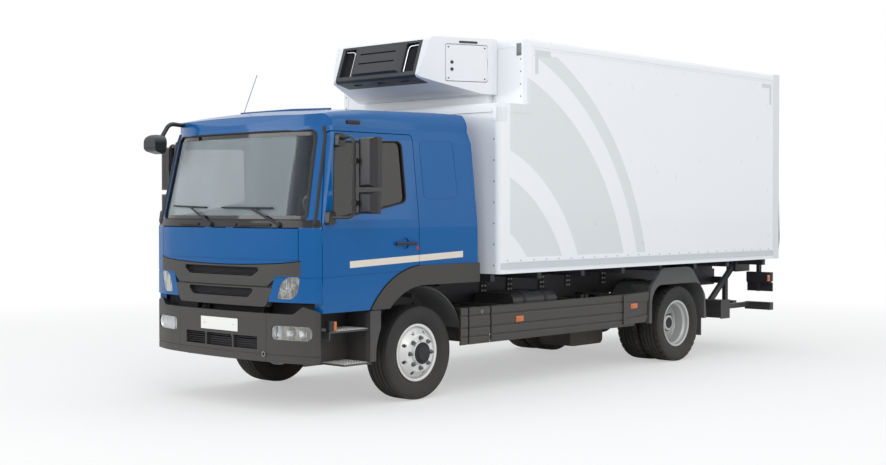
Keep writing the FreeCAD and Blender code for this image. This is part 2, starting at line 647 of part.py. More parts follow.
def make_wheels():
    """Tyres, rims and knuckles."""
    half = TYRE_WIDTH / 2
    tyre = turned([
        (-93, BEAD_RADIUS + SEAT_GAP), (-93, 268), (-half, 325, 50), (-half + 2, TYRE_RADIUS - 9, 16), (-70, TYRE_RADIUS, 300),
        (70, TYRE_RADIUS, 300), (half - 2, TYRE_RADIUS - 9, 16), (half, 325, 50), (93, 268), (93, BEAD_RADIUS + SEAT_GAP),
        (75, BEAD_RADIUS + SEAT_GAP), (half - 20, 325, 45), (half - 22, TYRE_RADIUS - 24, 14), (22 - half, TYRE_RADIUS - 24, 14), (20 - half, 325, 45),
        (-75, BEAD_RADIUS + SEAT_GAP),
    ])
    barrel = turned([
        (-RIM_HALF, 262), (-98, 262), (-94, BEAD_RADIUS), (-62, BEAD_RADIUS - 2), (-42, 229), (42, 229),
        (62, BEAD_RADIUS - 2), (94, BEAD_RADIUS), (98, 262), (RIM_HALF, 262), (RIM_HALF, 250), (100, 240),
        (64, 238), (44, 220), (-44, 220), (-64, 238), (-100, 240), (-RIM_HALF, 250),
    ])
    disc = turned([
        (44, 222), (62, 238), (100, 214, 30), (DISC_FACE, 168, 20), (DISC_FACE, BORE_RADIUS),
        (DISC_FACE - DISC_WALL, BORE_RADIUS), (DISC_FACE - DISC_WALL, 163, 14), (92, 203, 30), (56, 222),
    ])
    for index in range(HAND_HOLES):
        angle = 2 * math.pi * (index + 0.5) / HAND_HOLES
        y, z = 194 * math.cos(angle), 194 * math.sin(angle)
        disc = disc.cut(rod((60, y, z), (200, y, z), 17))
    wheel = joined([barrel, disc])

    bore = SPINDLE_RADIUS + SPINDLE_CLEARANCE
    stub_bore = AXLE_STUB_RADIUS + SPINDLE_CLEARANCE
    front_hub = turned([(-70, bore), (-70, DRUM_RADIUS), (70, DRUM_RADIUS, 10), (84, 120, 10), (DISC_FACE - DISC_WALL, 155),
                        (DISC_FACE - DISC_WALL, BORE_RADIUS), (172, BORE_RADIUS - 4, 6), (176, 70), (190, 62, 6), (190, 0),
                        (130, 0), (130, bore)])
    front_rim = joined([wheel, front_hub])
    at_front = V(FRONT_TRACK_HALF, 0, HUB_Z)
    for side, turn in (("left", lambda s: s), ("right", mirrored)):
        save("front_tyre_" + side, turn(tyre.translated(at_front)))
        save("front_rim_" + side, turn(front_rim.translated(at_front)))

    inner_x = REAR_OUTER_X - DUAL_SPACING
    inner = wheel.translated(V(inner_x, 0, 0))
    outer = wheel.mirror(V(0, 0, 0), V(1, 0, 0)).translated(V(REAR_OUTER_X, 0, 0))
    meet = inner_x + DISC_FACE
    rear_hub = turned([(600, stub_bore), (600, 180), (meet - 50, 180, 12), (meet - 40, 150, 10), (meet - DISC_WALL, 155),
                       (meet - DISC_WALL, BORE_RADIUS), (meet + 90, BORE_RADIUS - 6, 10), (meet + 150, 85, 14),
                       (meet + 150, 0), (meet + 20, 0), (meet + 20, stub_bore)])
    rear_rims = joined([inner, outer, rear_hub]).translated(V(0, WHEELBASE, HUB_Z))
    for side, turn in (("left", lambda s: s), ("right", mirrored)):
        tyres = [turn(tyre.translated(V(x, WHEELBASE, HUB_Z))) for x in (inner_x, REAR_OUTER_X)]
        save("rear_tyres_" + side, *tyres)
        save("rear_rims_" + side, turn(rear_rims))

    pin = rod((KINGPIN_X, 0, HUB_Z - 125), (KINGPIN_X, 0, HUB_Z + 125), KINGPIN_RADIUS)
    yoke = box(KINGPIN_X - 30, KINGPIN_X + 60, -60, 60, HUB_Z - 115, HUB_Z + 115)
    slot = box(KINGPIN_X - 60, KINGPIN_X + 42, -70, 70, HUB_Z - 60 - SEAT_GAP, HUB_Z + 60 + SEAT_GAP)
    steering_arm = box(KINGPIN_X - 20, KINGPIN_X + 20, 40, 190, HUB_Z - 112, HUB_Z - 84)
    spindle = rod((KINGPIN_X + 44, 0, HUB_Z), (FRONT_TRACK_HALF + 126, 0, HUB_Z), SPINDLE_RADIUS)
    knuckle = joined([yoke.cut(slot), pin, spindle, steering_arm])
    for side, turn in (("left", lambda s: s), ("right", mirrored)):
        save("knuckle_" + side, turn(knuckle))


def leaf_spring(middle_y, seat_z):
    """Leaf pack between its two eyes, bent upwards to them."""
    rise = RAIL_LOW - 70 - seat_z
    ends = (middle_y - SPRING_HALF_SPAN, middle_y + SPRING_HALF_SPAN)
    x0 = RAIL_OUTER - SPRING_WIDTH
    low = Part.Arc(V(x0, ends[0], seat_z + rise), V(x0, middle_y, seat_z), V(x0, ends[1], seat_z + rise)).toShape()
    high = Part.Arc(V(x0, ends[1], seat_z + rise + 14), V(x0, middle_y, seat_z + SPRING_LEAVES),
                    V(x0, ends[0], seat_z + rise + 14)).toShape()
    sides = [Part.LineSegment(V(x0, y, seat_z + rise), V(x0, y, seat_z + rise + 14)).toShape() for y in ends]
    pack = Part.Face(Part.Wire(Part.__sortEdges__([low, sides[1], high, sides[0]]))).extrude(V(SPRING_WIDTH, 0, 0))
    eyes = [rod((x0, y, seat_z + rise + 20), (x0 + SPRING_WIDTH, y, seat_z + rise + 20), 24) for y in ends]
    return joined([pack] + eyes)


def spring_hanger(y):
    """Bracket on a frame rail that holds one eye of a spring between its two cheeks."""
    inner = RAIL_OUTER - SPRING_WIDTH - SEAT_GAP
    cheek = box(RAIL_OUTER + SEAT_GAP, RAIL_OUTER + 12, y - 45, y + 45, RAIL_LOW - 100, RAIL_LOW + 60)
    back = box(inner - 12, inner, y - 45, y + 45, RAIL_LOW - 100, RAIL_LOW - SEAT_GAP)
    bridge = box(inner - 12, RAIL_OUTER + 12, y - 45, y + 45, RAIL_LOW - 7, RAIL_LOW - SEAT_GAP)
    return joined([cheek, back, bridge])


def make_chassis():
    """Frame, axles, springs, tanks and everything bolted to the frame."""
    channel = prism_y([(RAIL_OUTER - RAIL_FLANGE, RAIL_LOW), (RAIL_OUTER, RAIL_LOW), (RAIL_OUTER, RAIL_HIGH),
                       (RAIL_OUTER - RAIL_FLANGE, RAIL_HIGH), (RAIL_OUTER - RAIL_FLANGE, RAIL_HIGH - RAIL_WEB),
                       (RAIL_OUTER - RAIL_WEB, RAIL_HIGH - RAIL_WEB), (RAIL_OUTER - RAIL_WEB, RAIL_LOW + RAIL_WEB),
                       (RAIL_OUTER - RAIL_FLANGE, RAIL_LOW + RAIL_WEB)], RAIL_FRONT, RAIL_REAR)
    web = RAIL_OUTER - RAIL_WEB
    inside = RAIL_OUTER - RAIL_FLANGE
    members = []
    for y in CROSS_MEMBERS:
        members.append(box(SEAT_GAP - web, web - SEAT_GAP, y, y + CROSS_DEPTH, RAIL_LOW + 40, RAIL_HIGH - 40))
    beam = box(-850, 850, RAIL_FRONT - 60, RAIL_FRONT - SEAT_GAP, 455, 585)
    legs = [box(x - 30, x + 30, RAIL_FRONT - 60, RAIL_FRONT - SEAT_GAP, 585, RAIL_HIGH) for x in (-415, 415)]
    y, z = TILT_PIVOT
    pivots = [box(x - 35, x + 35, y - 30, RAIL_FRONT - SEAT_GAP, z - 30, z + 30) for x in (-415, 415)]
    pivots += [rod((x, y, z), (x + 100, y, z), TILT_PIN) for x in (-480, 380)]
    rests = [box(x - 35, x + 35, 560, 640, RAIL_HIGH + SEAT_GAP, CAB_FLOOR_LOW - SEAT_GAP) for x in (-415, 415)]
    save("ladder_frame", channel, mirrored(channel), *members, joined([beam] + legs + pivots), *rests)

    runner = box(inside, RAIL_OUTER, BOX_FRONT + 80, RAIL_REAR - 50, RAIL_HIGH + SEAT_GAP, SUBFRAME_HIGH)
    first, last = BOX_FRONT + 80, BOX_REAR - 215
    bearers = []
    for index in range(BEARER_COUNT):
        y = first + (last - first) * index / (BEARER_COUNT - 1)
        half = LINK_X[0] - 35 if index == BEARER_COUNT - 1 else BOX_HALF - 180
        bearers.append(box(-half, half, y, y + BEARER_WIDTH, SUBFRAME_HIGH + SEAT_GAP, BOX_LOW - SEAT_GAP))
    outrigger = box(ARM_X[1] + 35, BOX_HALF - 100, last, last + BEARER_WIDTH, SUBFRAME_HIGH, BOX_LOW - SEAT_GAP)
    save("body_subframe", *both(runner), *bearers, *both(outrigger))

    engine = box(-330, 330, -850, 450, 560, 1060)
    feet = [box(-web + SEAT_GAP, web - SEAT_GAP, y, y + 80, RAIL_LOW + RAIL_WEB + SEAT_GAP, 860) for y in (-700, 200)]
    radiator = box(-370, 370, -1120, -1060, 600, 1080)
    save("engine_block", joined([engine, radiator, box(-60, 60, -1060, -850, 800, 860)] + feet))

    beam_x = KINGPIN_X
    axle = prism_y([(-beam_x, HUB_Z - 60), (-beam_x + 90, HUB_Z - 60), (-620, 330), (620, 330), (beam_x - 90, HUB_Z - 60),
                    (beam_x, HUB_Z - 60), (beam_x, HUB_Z + 60), (beam_x - 90, HUB_Z + 60), (560, 440), (-560, 440),
                    (-beam_x + 90, HUB_Z + 60), (-beam_x, HUB_Z + 60)], -45, 45)
    bosses = [rod((x, 0, HUB_Z - 60), (x, 0, HUB_Z + 60), KINGPIN_BOSS) for x in (-KINGPIN_X, KINGPIN_X)]
    axle = joined([axle] + bosses)
    for x in (-KINGPIN_X, KINGPIN_X):
        axle = axle.cut(rod((x, 0, 0), (x, 0, 900), KINGPIN_RADIUS + SPINDLE_CLEARANCE))
    pads = [box(x - 40, x + 40, -70, 70, 430, 500) for x in (-415, 415)]
    save("front_axle", joined([axle] + pads))
    springs = [leaf_spring(0, 500 + SEAT_GAP), leaf_spring(WHEELBASE, 510 + SEAT_GAP)]
    hangers = []
    for middle in (0, WHEELBASE):
        for end in (middle - SPRING_HALF_SPAN, middle + SPRING_HALF_SPAN):
            hangers.append(spring_hanger(end))
    save("leaf_springs", *[solid for left in springs + hangers for solid in both(left)])

    stub = rod((-860, WHEELBASE, HUB_Z), (860, WHEELBASE, HUB_Z), AXLE_STUB_RADIUS)
    casing = turned([(-590, 0), (-590, AXLE_TUBE_RADIUS), (-260, AXLE_TUBE_RADIUS, 60), (-120, 165, 90), (120, 165, 90),
                     (260, AXLE_TUBE_RADIUS, 60), (590, AXLE_TUBE_RADIUS), (590, 0)]).translated(V(0, WHEELBASE, HUB_Z))
    pads = [box(x - 40, x + 40, WHEELBASE - 70, WHEELBASE + 70, HUB_Z, 510) for x in (-415, 415)]
    shaft = rod((0, 453, 640), (0, WHEELBASE - 150, HUB_Z + 20), 40)
    save("rear_axle", joined([stub, casing] + pads + [shaft]))

    make_bumper()
    make_lower_body()


def make_bumper():
    """Wrap-round front bumper, its lamps and the towing socket."""
    def plan(inset, low, high):
        wire = plan_wire(CAB_HALF - inset, -FRONT_OVERHANG + inset, -1000, low)
        return Part.Face(wire).extrude(V(0, 0, high - low))
    shell = plan(0, BUMPER_LOW, BUMPER_SHOULDER).cut(plan(BUMPER_WALL, BUMPER_LOW, BUMPER_SHOULDER))
    side = prism_x([(-1500, BUMPER_LOW), (BUMPER_END, BUMPER_LOW, 30), (BUMPER_END, 866), (-1292, 893),
                    (-1335, BUMPER_SHOULDER), (-1500, BUMPER_SHOULDER)], -1200, 1200)
    front = prism_y([(-1300, BUMPER_LOW), (1300, BUMPER_LOW), (1300, BUMPER_SHOULDER), (1010, BUMPER_SHOULDER, 40),
                     (900, BUMPER_HIGH, 60), (-900, BUMPER_HIGH, 60), (-1010, BUMPER_SHOULDER, 40),
                     (-1300, BUMPER_SHOULDER)], -1500, -1000)
    bumper = shell.common(side).common(front)
    skin = shell.cut(plan(4, BUMPER_LOW, BUMPER_SHOULDER))
    seams = [box(x - 1.5, x + 1.5, -1500, -1200, BUMPER_LOW, BUMPER_SHOULDER) for x in (-610, 610)]
    lip = box(-1300, 1300, -1500, -1000, 492, 500)
    bumper = bumper.cut([skin.common(line) for line in seams + [lip]])
    low, high = BUMPER_OPENING
    for x0, x1 in ((-BUMPER_OPENING_HALF, -200), (-180, 180), (200, BUMPER_OPENING_HALF)):
        bumper = bumper.cut(box(x0, x1, -1500, -1200, low, high))
    x0, x1, z0, z1 = BUMPER_LAMP
    lamp_hole = prism_y([(x0, z0, 30), (x1, z0, 50), (x1, z1, 40), (x0, z1, 30)], -1500, -1200)
    bumper = bumper.cut([lamp_hole, mirrored(lamp_hole)])
    bumper = bumper.cut(rod((SOCKET_X, -1500, SOCKET_Z), (SOCKET_X, -1200, SOCKET_Z), SOCKET_RADIUS + 4))
    bumper = bumper.cut(box(-PLATE_HALF - 5, PLATE_HALF + 5, -1500, PLATE_SEAT - FRONT_OVERHANG,
                            PLATE_Z - PLATE_HEIGHT / 2 - 4, PLATE_Z + PLATE_HEIGHT / 2 + 4))
    for x in (-PLATE_SCREWS / 2, PLATE_SCREWS / 2):
        bumper = bumper.cut(rod((x, -1500, PLATE_Z), (x, -1200, PLATE_Z), 3.5))
    x0, x1, z0, z1 = TILT_EAR_ROOM
    bumper = bumper.cut([box(x0, x1, -1390, -1200, z0, z1), box(-x1, -x0, -1390, -1200, z0, z1)])
    x0, x1, z0, z1 = BUMPER_LAMP
    stays = [box(x - 40, x + 40, -FRONT_OVERHANG + 42, RAIL_FRONT - 60 - SEAT_GAP, 470, 520) for x in (-650, 650)]
    save("front_bumper", joined([bumper] + stays))

    lens = prism_y([(x0 + SEAT_GAP, z0 + SEAT_GAP, 30), (x1 - SEAT_GAP, z0 + SEAT_GAP, 50),
                    (x1 - SEAT_GAP, z1 - SEAT_GAP, 40), (x0 + SEAT_GAP, z1 - SEAT_GAP, 30)], -1500, -1200)
    lamp = plan(6, BUMPER_LOW, BUMPER_HIGH).cut(plan(BUMPER_WALL, BUMPER_LOW, BUMPER_HIGH)).common(lens)
    save("bumper_lamps", *both(lamp))

    front = RAIL_FRONT - 60 - SEAT_GAP
    socket = rod((SOCKET_X, -1405, SOCKET_Z), (SOCKET_X, front, SOCKET_Z), SOCKET_RADIUS)
    save("towing_socket", socket.cut(rod((SOCKET_X, -1406, SOCKET_Z), (SOCKET_X, -1405 + SOCKET_DEPTH, SOCKET_Z),
                                         SOCKET_BORE)))


def make_lower_body():
    """Steps, skirts, tank, battery box, silencer, mudguards."""
    back = box(800, 815, -1150, -660, 380, 850)
    treads = [box(815, 1135, -1138, -667, 685, 700), box(815, 1135, -976, -667, 390, 405)]
    cheeks = [prism_x([(-1150, 700), (-1150, 640), (-990, 380), (-976, 380), (-976, 700)], 815, 1135).common(
        box(0, 2000, -1150, -1138, 380, 700)), box(815, 1135, -667, -655, 380, 850)]
    risers = [box(815, 835, -1138, -667, 400, 700)]
    steps = joined([back] + treads + cheeks + risers)
    leg = box(CAB_HALF - CAB_WALL, CAB_HALF + ARCH_PROUD, -690, -560, 410, CAB_BOTTOM - PANEL_GAP)
    leg = leg.common(arch_disc(ARCH_OUTER, 0, 2000)).cut(arch_disc(ARCH_INNER, 0, 2000))
    leg = joined([leg, box(1050, CAB_HALF - CAB_WALL + 1, -667, -640, 420, 800)])
    arm = box(RAIL_OUTER + SEAT_GAP, 801, -900, -860, BRACKET_LOW, BRACKET_HIGH)
    save("entry_steps", *both(joined([steps, leg, arm])))

    def panel(y0, y1):
        section = [(SKIRT_X - SKIRT_WALL, SKIRT_LOW), (SKIRT_X - 8, SKIRT_LOW, 5)]
        for z in SKIRT_GROOVES:
            section += [(SKIRT_X, z - 14, 8), (SKIRT_X - 2, z - 4), (SKIRT_X - 9, z), (SKIRT_X - 9, z + 8), (SKIRT_X, z + 12)]
        section += [(SKIRT_X, SKIRT_HIGH - 14, 8), (SKIRT_X - 12, SKIRT_HIGH), (SKIRT_X - SKIRT_WALL, SKIRT_HIGH)]
        return prism_y(section, y0, y1)
    lid = joined([panel(*BATTERY), box(1100, SKIRT_X - SKIRT_WALL + 1, BATTERY[0] + 5, BATTERY[1] - 5,
                                       SKIRT_LOW + 5, SKIRT_HIGH - 5)])
    case = box(760, 1100, BATTERY[0] + 15, BATTERY[1] - 15, SKIRT_LOW + 20, BRACKET_LOW)
    arm = box(RAIL_OUTER + SEAT_GAP, 1099, 740, 780, BRACKET_LOW, BRACKET_HIGH)
    save("battery_box", *both(joined([lid, case, arm])))

    def bracket(y):
        arm = box(RAIL_OUTER + SEAT_GAP, SKIRT_X - SKIRT_WALL, y, y + 40, BRACKET_LOW, BRACKET_HIGH)
        return joined([arm, box(1100, SKIRT_X - SKIRT_WALL + 1, y, y + 40, 700, BRACKET_HIGH)])
    long_skirt = panel(SKIRT_FRONT, SKIRT_REAR - 250)
    end_outline = [(SKIRT_REAR - 480, SKIRT_LOW + 30), (SKIRT_REAR - 60, SKIRT_LOW + 30, 40), (SKIRT_REAR - 15, 600, 60),
                   (SKIRT_REAR, SKIRT_HIGH + 12, 12), (SKIRT_REAR - 480, SKIRT_HIGH, 30)]
    end = prism_x(end_outline, SKIRT_X - SKIRT_WALL, SKIRT_X + 12)
    pocket = prism_x([(SKIRT_REAR - 440, 550, 12), (SKIRT_REAR + 10, 570), (SKIRT_REAR + 10, 722), (SKIRT_REAR - 440, 735, 12)],
                     SKIRT_X - 4, SKIRT_X + 50)
    left = joined([long_skirt, end.cut(pocket)] + [bracket(y) for y in (1120, 2300, SKIRT_REAR - 400)])
    post = joined([panel(500, 600), bracket(530)])
    save("side_skirts", *(both(left) + both(post)))

    tank = prism_y([(520, 490, 90), (1040, 490, 90), (1040, 900, 90), (520, 900, 90)], TANK[0], TANK[1])
    straps = [box(RAIL_OUTER + SEAT_GAP, 540, y, y + 60, 815, 880) for y in (TANK[0] + 120, TANK[1] - 180)]
    save("fuel_tank", joined([tank] + straps))

    front, rear = WHEELBASE - 1340, WHEELBASE - 740
    silencer = prism_x([(front, 230, 60), (rear, 230, 60), (rear, 690, 60), (front, 690, 60)], 200, 620)
    hanger = box(390, 430, front + 120, front + 180, 680, RAIL_LOW - SEAT_GAP)
    save("silencer", joined([silencer, hanger]))

    def at(points):
        return [(WHEELBASE + point[0], *point[1:]) for point in points]
    cover = prism_x(at([(-620, 470), (-596, 850, 160), (-358, 1073, 160), (250, 1073, 220), (545, 740, 160), (570, 460), (515, 460), (515, 700), (470, 887, 190),
                        (-500, 887, 190), (-565, 700), (-565, 470)]), 1130, 1165)
    tunnel = prism_x(at([(-565, 470), (-565, 700), (-500, 887, 190), (470, 887, 190), (515, 700), (515, 460), (523, 460),
                         (523, 702), (478, 895, 196), (-508, 895, 196), (-573, 702), (-573, 470)]), 620, 1140)
    flap = box(640, 1120, WHEELBASE + 522, WHEELBASE + 532, 257, 520)
    stay = box(RAIL_OUTER + SEAT_GAP, 700, WHEELBASE - 40, WHEELBASE + 20, 890, 920)
    guard = joined([cover, tunnel, stay, flap])
    liner = rod((700, 0, HUB_Z), (1085, 0, HUB_Z), 608).cut(rod((700, 0, HUB_Z), (1085, 0, HUB_Z), 600))
    liner = liner.common(box(700, 1085, 60, 700, 620, 1100))
    liner = joined([liner, box(RAIL_OUTER + SEAT_GAP, 710, 300, 340, 900, 940)])
    save("mudguards", *(both(guard) + both(liner)))


def make_box():
    """Insulated body: floor, sides, roof, stepped front wall, rear frame and doors."""
    outer = prism_x([(BOX_FRONT, BOX_LOW), (BOX_REAR, BOX_LOW), (BOX_REAR, BOX_HIGH), (BOX_UPPER_FRONT, BOX_HIGH, 40),
                     (BOX_UPPER_FRONT, BOX_LEDGE), (BOX_FRONT, BOX_LEDGE, 40)], -BOX_HALF, BOX_HALF)
    outer = outer.common(prism_y([(-BOX_HALF, BOX_LOW), (BOX_HALF, BOX_LOW), (BOX_HALF, BOX_HIGH, 40),
                                  (-BOX_HALF, BOX_HIGH, 40)], BOX_FRONT, BOX_REAR))

    def plan(front, low, high):
        return prism_z([(-BOX_HALF, BOX_REAR), (-BOX_HALF, front, BOX_CORNER), (BOX_HALF, front, BOX_CORNER),
                        (BOX_HALF, BOX_REAR)], low, high)
    lower = outer.common(plan(BOX_FRONT, BOX_LOW, BOX_LEDGE))
    upper = outer.common(plan(BOX_UPPER_FRONT, BOX_LEDGE - 1, BOX_HIGH))
    outer = joined([lower, upper])

    inner_half = BOX_HALF - BOX_SIDE_WALL
    frame_front = BOX_REAR - REAR_POST_DEPTH
    side = outer.common(box(inner_half, BOX_HALF, BOX_FRONT, frame_front - SEAT_GAP, BOX_LOW, BOX_HIGH - BOX_ROOF))
    ledge_low = BOX_LEDGE - PROFILE_WIDTH + 14
    panel_front = BOX_FRONT + PROFILE_WIDTH
    panel_edge = [(panel_front, BOX_LOW + BASE_RAIL), (frame_front + 50, BOX_LOW + BASE_RAIL),
                  (frame_front + 50, BOX_HIGH - PROFILE_WIDTH), (BOX_UPPER_FRONT + PROFILE_WIDTH, BOX_HIGH - PROFILE_WIDTH),
                  (BOX_UPPER_FRONT + PROFILE_WIDTH, ledge_low), (panel_front, ledge_low)]
    recess = prism_x(panel_edge, BOX_HALF - PANEL_DEPTH, BOX_HALF + 10)
    band = box(BOX_HALF - PANEL_DEPTH, BOX_HALF + 10, panel_front, frame_front + 50, BOX_LOW + 40, BOX_LOW + 104)
    side = side.cut([recess, band])
    save("box_sides", *both(side))
    inside = inner_half - SEAT_GAP
    roof = outer.common(box(-BOX_HALF, BOX_HALF, BOX_UPPER_FRONT, frame_front - SEAT_GAP, BOX_HIGH - BOX_ROOF + SEAT_GAP, BOX_HIGH))
    save("box_roof", roof)
    front_low = box(-inside, inside, BOX_FRONT, BOX_FRONT + BOX_FRONT_WALL, BOX_LOW, BOX_LEDGE)
    ledge = box(-inside, inside, BOX_FRONT, BOX_UPPER_FRONT + BOX_FRONT_WALL, BOX_LEDGE - BOX_FRONT_WALL, BOX_LEDGE)
    front_high = box(-inside, inside, BOX_UPPER_FRONT, BOX_UPPER_FRONT + BOX_FRONT_WALL, BOX_LEDGE - 1, BOX_HIGH - BOX_ROOF)
    front = joined([front_low, ledge, front_high]).common(outer)
    wall_half = BOX_HALF - PROFILE_WIDTH
    front = front.cut([box(-wall_half, wall_half, BOX_FRONT - 10, BOX_FRONT + PANEL_DEPTH, BOX_LOW + 40, ledge_low),
                       box(-wall_half, wall_half, BOX_UPPER_FRONT - 10, BOX_UPPER_FRONT + PANEL_DEPTH,
                           BOX_LEDGE + 60, BOX_HIGH - 60)])
    save("box_front", front)
    floor = box(-inside, inside, BOX_FRONT + BOX_FRONT_WALL + SEAT_GAP, frame_front - SEAT_GAP, BOX_LOW, BOX_LOW + BOX_FLOOR)
    save("box_floor", floor)

    portal = box(-BOX_HALF, BOX_HALF, frame_front, BOX_REAR, BOX_LOW, BOX_HIGH)
    opening_half = BOX_HALF - REAR_POST
    portal = portal.cut(box(-opening_half, opening_half, frame_front - 1, BOX_REAR + 1, BOX_LOW + BOX_FLOOR, BOX_HIGH - REAR_POST))
    save("rear_frame", portal)

    leaf_front = BOX_REAR - DOOR_LEAF
    leaf = box(2, opening_half - SEAT_GAP, leaf_front, BOX_REAR - 4, BOX_LOW + BOX_FLOOR + SEAT_GAP,
               BOX_HIGH - REAR_POST - SEAT_GAP)
    bars = [rod((x, BOX_REAR + 16, BOX_LOW + 40), (x, BOX_REAR + 16, BOX_HIGH - 50), 13) for x in (180, 700)]
    guides = [box(x - 25, x + 25, BOX_REAR - 5, BOX_REAR + 16, z, z + 60) for x in (180, 700)
              for z in (BOX_LOW + 182, BOX_LOW + 1082, BOX_HIGH - 210)]
    hinge_x = opening_half - 70
    hinges, straps = [], []
    for z in (BOX_LOW + 182, BOX_LOW + 732, BOX_LOW + 1282, BOX_HIGH - 390):
        hinges.append(box(hinge_x, BOX_HALF - 20, BOX_REAR + SEAT_GAP, BOX_REAR + 14, z, z + 90))
        straps.append(box(hinge_x, hinge_x + 60, BOX_REAR - 5, BOX_REAR + 14, z, z + 90))
    leaf = joined([leaf] + bars + guides + hinges + straps)
    save("rear_doors", *both(leaf))


def make_unit():
    """Refrigeration unit on the upper front wall."""
    side = [(BOX_UPPER_FRONT - SEAT_GAP, UNIT_LOW), (BOX_UPPER_FRONT - SEAT_GAP, UNIT_HIGH), (UNIT_FRONT_HIGH, UNIT_HIGH, 45),
            (UNIT_KINK, UNIT_KINK_Z, 25), (UNIT_KINK + 20, UNIT_KINK_Z - 25, 15), (UNIT_CHIN_REAR, UNIT_CHIN_Z, 60),
            (1120, UNIT_LOW, 200)]
    body = prism_x(side, -UNIT_HALF_REAR, UNIT_HALF_REAR)
    plan = prism_z([(UNIT_HALF_REAR, BOX_UPPER_FRONT), (-UNIT_HALF_REAR, BOX_UPPER_FRONT), (-UNIT_HALF_REAR, BOX_UPPER_FRONT - 60),
                    (-UNIT_HALF_FRONT, UNIT_KINK, 60), (UNIT_HALF_FRONT, UNIT_KINK, 60),
                    (UNIT_HALF_REAR, BOX_UPPER_FRONT - 60)], UNIT_LOW - 60, UNIT_HIGH + 100)
    body = body.common(plan)
    slope = V(0, UNIT_FRONT_HIGH - UNIT_KINK, UNIT_HIGH - UNIT_KINK_Z)
    face_high = slope.Length
    slope.normalize()
    outward = V(0, -slope.z, slope.y)
    foot_of_face = V(0, UNIT_KINK, UNIT_KINK_Z)

    def on_face(x, up, out):
        return foot_of_face + V(x, 0, 0) + slope * up + outward * out
    depth = 70
    edge = [on_face(0, -60, 80), on_face(0, face_high - 28, 80), on_face(0, face_high - 28, -depth), on_face(0, 20, -depth)]
    edge_points = [(p.y, p.z) for p in edge] + [(UNIT_CHIN_REAR, UNIT_CHIN_Z + 25), (UNIT_CHIN_REAR, UNIT_CHIN_Z - 60)]

    def face_zone(half):
        return prism_x(edge_points, -half, half)
    grille_zone = face_zone(UNIT_FACE_HALF)
    y0, y1, z0, z1 = HATCH
    deep = body.common(prism_x([(y0, z0, 20), (y1, z0, 20), (y1, z1, 20), (y0, z1, 20)], 400, 1200))
    shifted = deep.translated(V(-UNIT_WALL, 0, 0))
    hatch = deep.cut(shifted)
    hatch_hole = body.common(prism_x([(y0 - PANEL_GAP, z0 - PANEL_GAP, 20), (y1 + PANEL_GAP, z0 - PANEL_GAP, 20),
                                      (y1 + PANEL_GAP, z1 + PANEL_GAP, 20), (y0 - PANEL_GAP, z1 + PANEL_GAP, 20)], 400, 1200))
    hatch_hole = hatch_hole.cut(hatch_hole.translated(V(-UNIT_WALL - 12, 0, 0)))
    grille = body.common(face_zone(UNIT_FACE_HALF - SEAT_GAP))
    body = body.cut([grille_zone, hatch_hole])
    foot = box(-UNIT_HALF_REAR + 60, UNIT_HALF_REAR - 60, BOX_UPPER_FRONT - 60, BOX_UPPER_FRONT - SEAT_GAP, BOX_LEDGE + 13.5, UNIT_LOW + 1)
    x, y = HATCH_HINGE
    body = body.cut([rod((x, y, z - 1), (x, y, z + 50), 8) for z in HATCH_BARRELS])
    body = joined([body, foot] + [rod((x, y, z + 50), (x, y, z + 100), 7) for z in HATCH_BARRELS])
    save("unit_housing", body)
    rings = []
    for half, low, high, out in ((UNIT_CENTRE_HALF, 34, face_high - 44, -5),
                                 (UNIT_CENTRE_HALF - 38, 52, face_high - 60, UNIT_CENTRE_PROUD)):
        corners = [on_face(-half, low, out), on_face(half, low, out), on_face(half, high, out), on_face(-half, high, out)]
        rings.append(Part.makePolygon(corners + corners[:1]))
    centre = Part.makeLoft(rings, True, True)
    openings = []
    for side in (-1, 1):
        x0, x1 = sorted((side * (UNIT_CENTRE_HALF + 18), side * (UNIT_FACE_HALF - 42)))
        corners = [on_face(0, 40, 90), on_face(0, face_high - 52, 90), on_face(0, face_high - 52, -200), on_face(0, 40, -200)]
        openings.append(prism_x([(p.y, p.z) for p in corners], x0, x1))
    slots = []
    for up in (150, 250):
        corners = [on_face(0, up, 60), on_face(0, up + 14, 60), on_face(0, up + 14, 4), on_face(0, up, 4)]
        slots.append(prism_x([(p.y, p.z) for p in corners], -250, 250))
    for x in (-330, 0, 330):
        slots.append(box(x - 55, x + 55, UNIT_KINK + 85, UNIT_KINK + 125, UNIT_CHIN_Z - 40, UNIT_KINK_Z + 8))
    save("unit_grille", joined([grille, centre]).cut(openings + slots))
    x, y = HATCH_HINGE
    save("unit_hatch", joined([hatch.cut([rod((x, y, z + 50), (x, y, z + 101), 8) for z in HATCH_BARRELS])]
                              + [rod((x, y, z), (x, y, z + 50 - SEAT_GAP), 7) for z in HATCH_BARRELS]))


def bar(x_range, start, end, height, pin):
    """Flat bar between two pivots, with round ends and pin holes."""
    a, b = V(0, *start), V(0, *end)
    along = b - a
    along.normalize()
    across = V(0, -along.z, along.y) * (height / 2)
    x0, x1 = x_range
    corners = [a + across, b + across, b - across, a - across]
    face = Part.Face(Part.makePolygon([V(x0, c.y, c.z) for c in corners + corners[:1]]))
    body = face.extrude(V(x1 - x0, 0, 0))
    ends = [rod((x0, p.y, p.z), (x1, p.y, p.z), height / 2) for p in (a, b)]
    body = joined([body] + ends)
    return body.cut([rod((x0 - 1, p.y, p.z), (x1 + 1, p.y, p.z), pin + 0.5) for p in (a, b)])


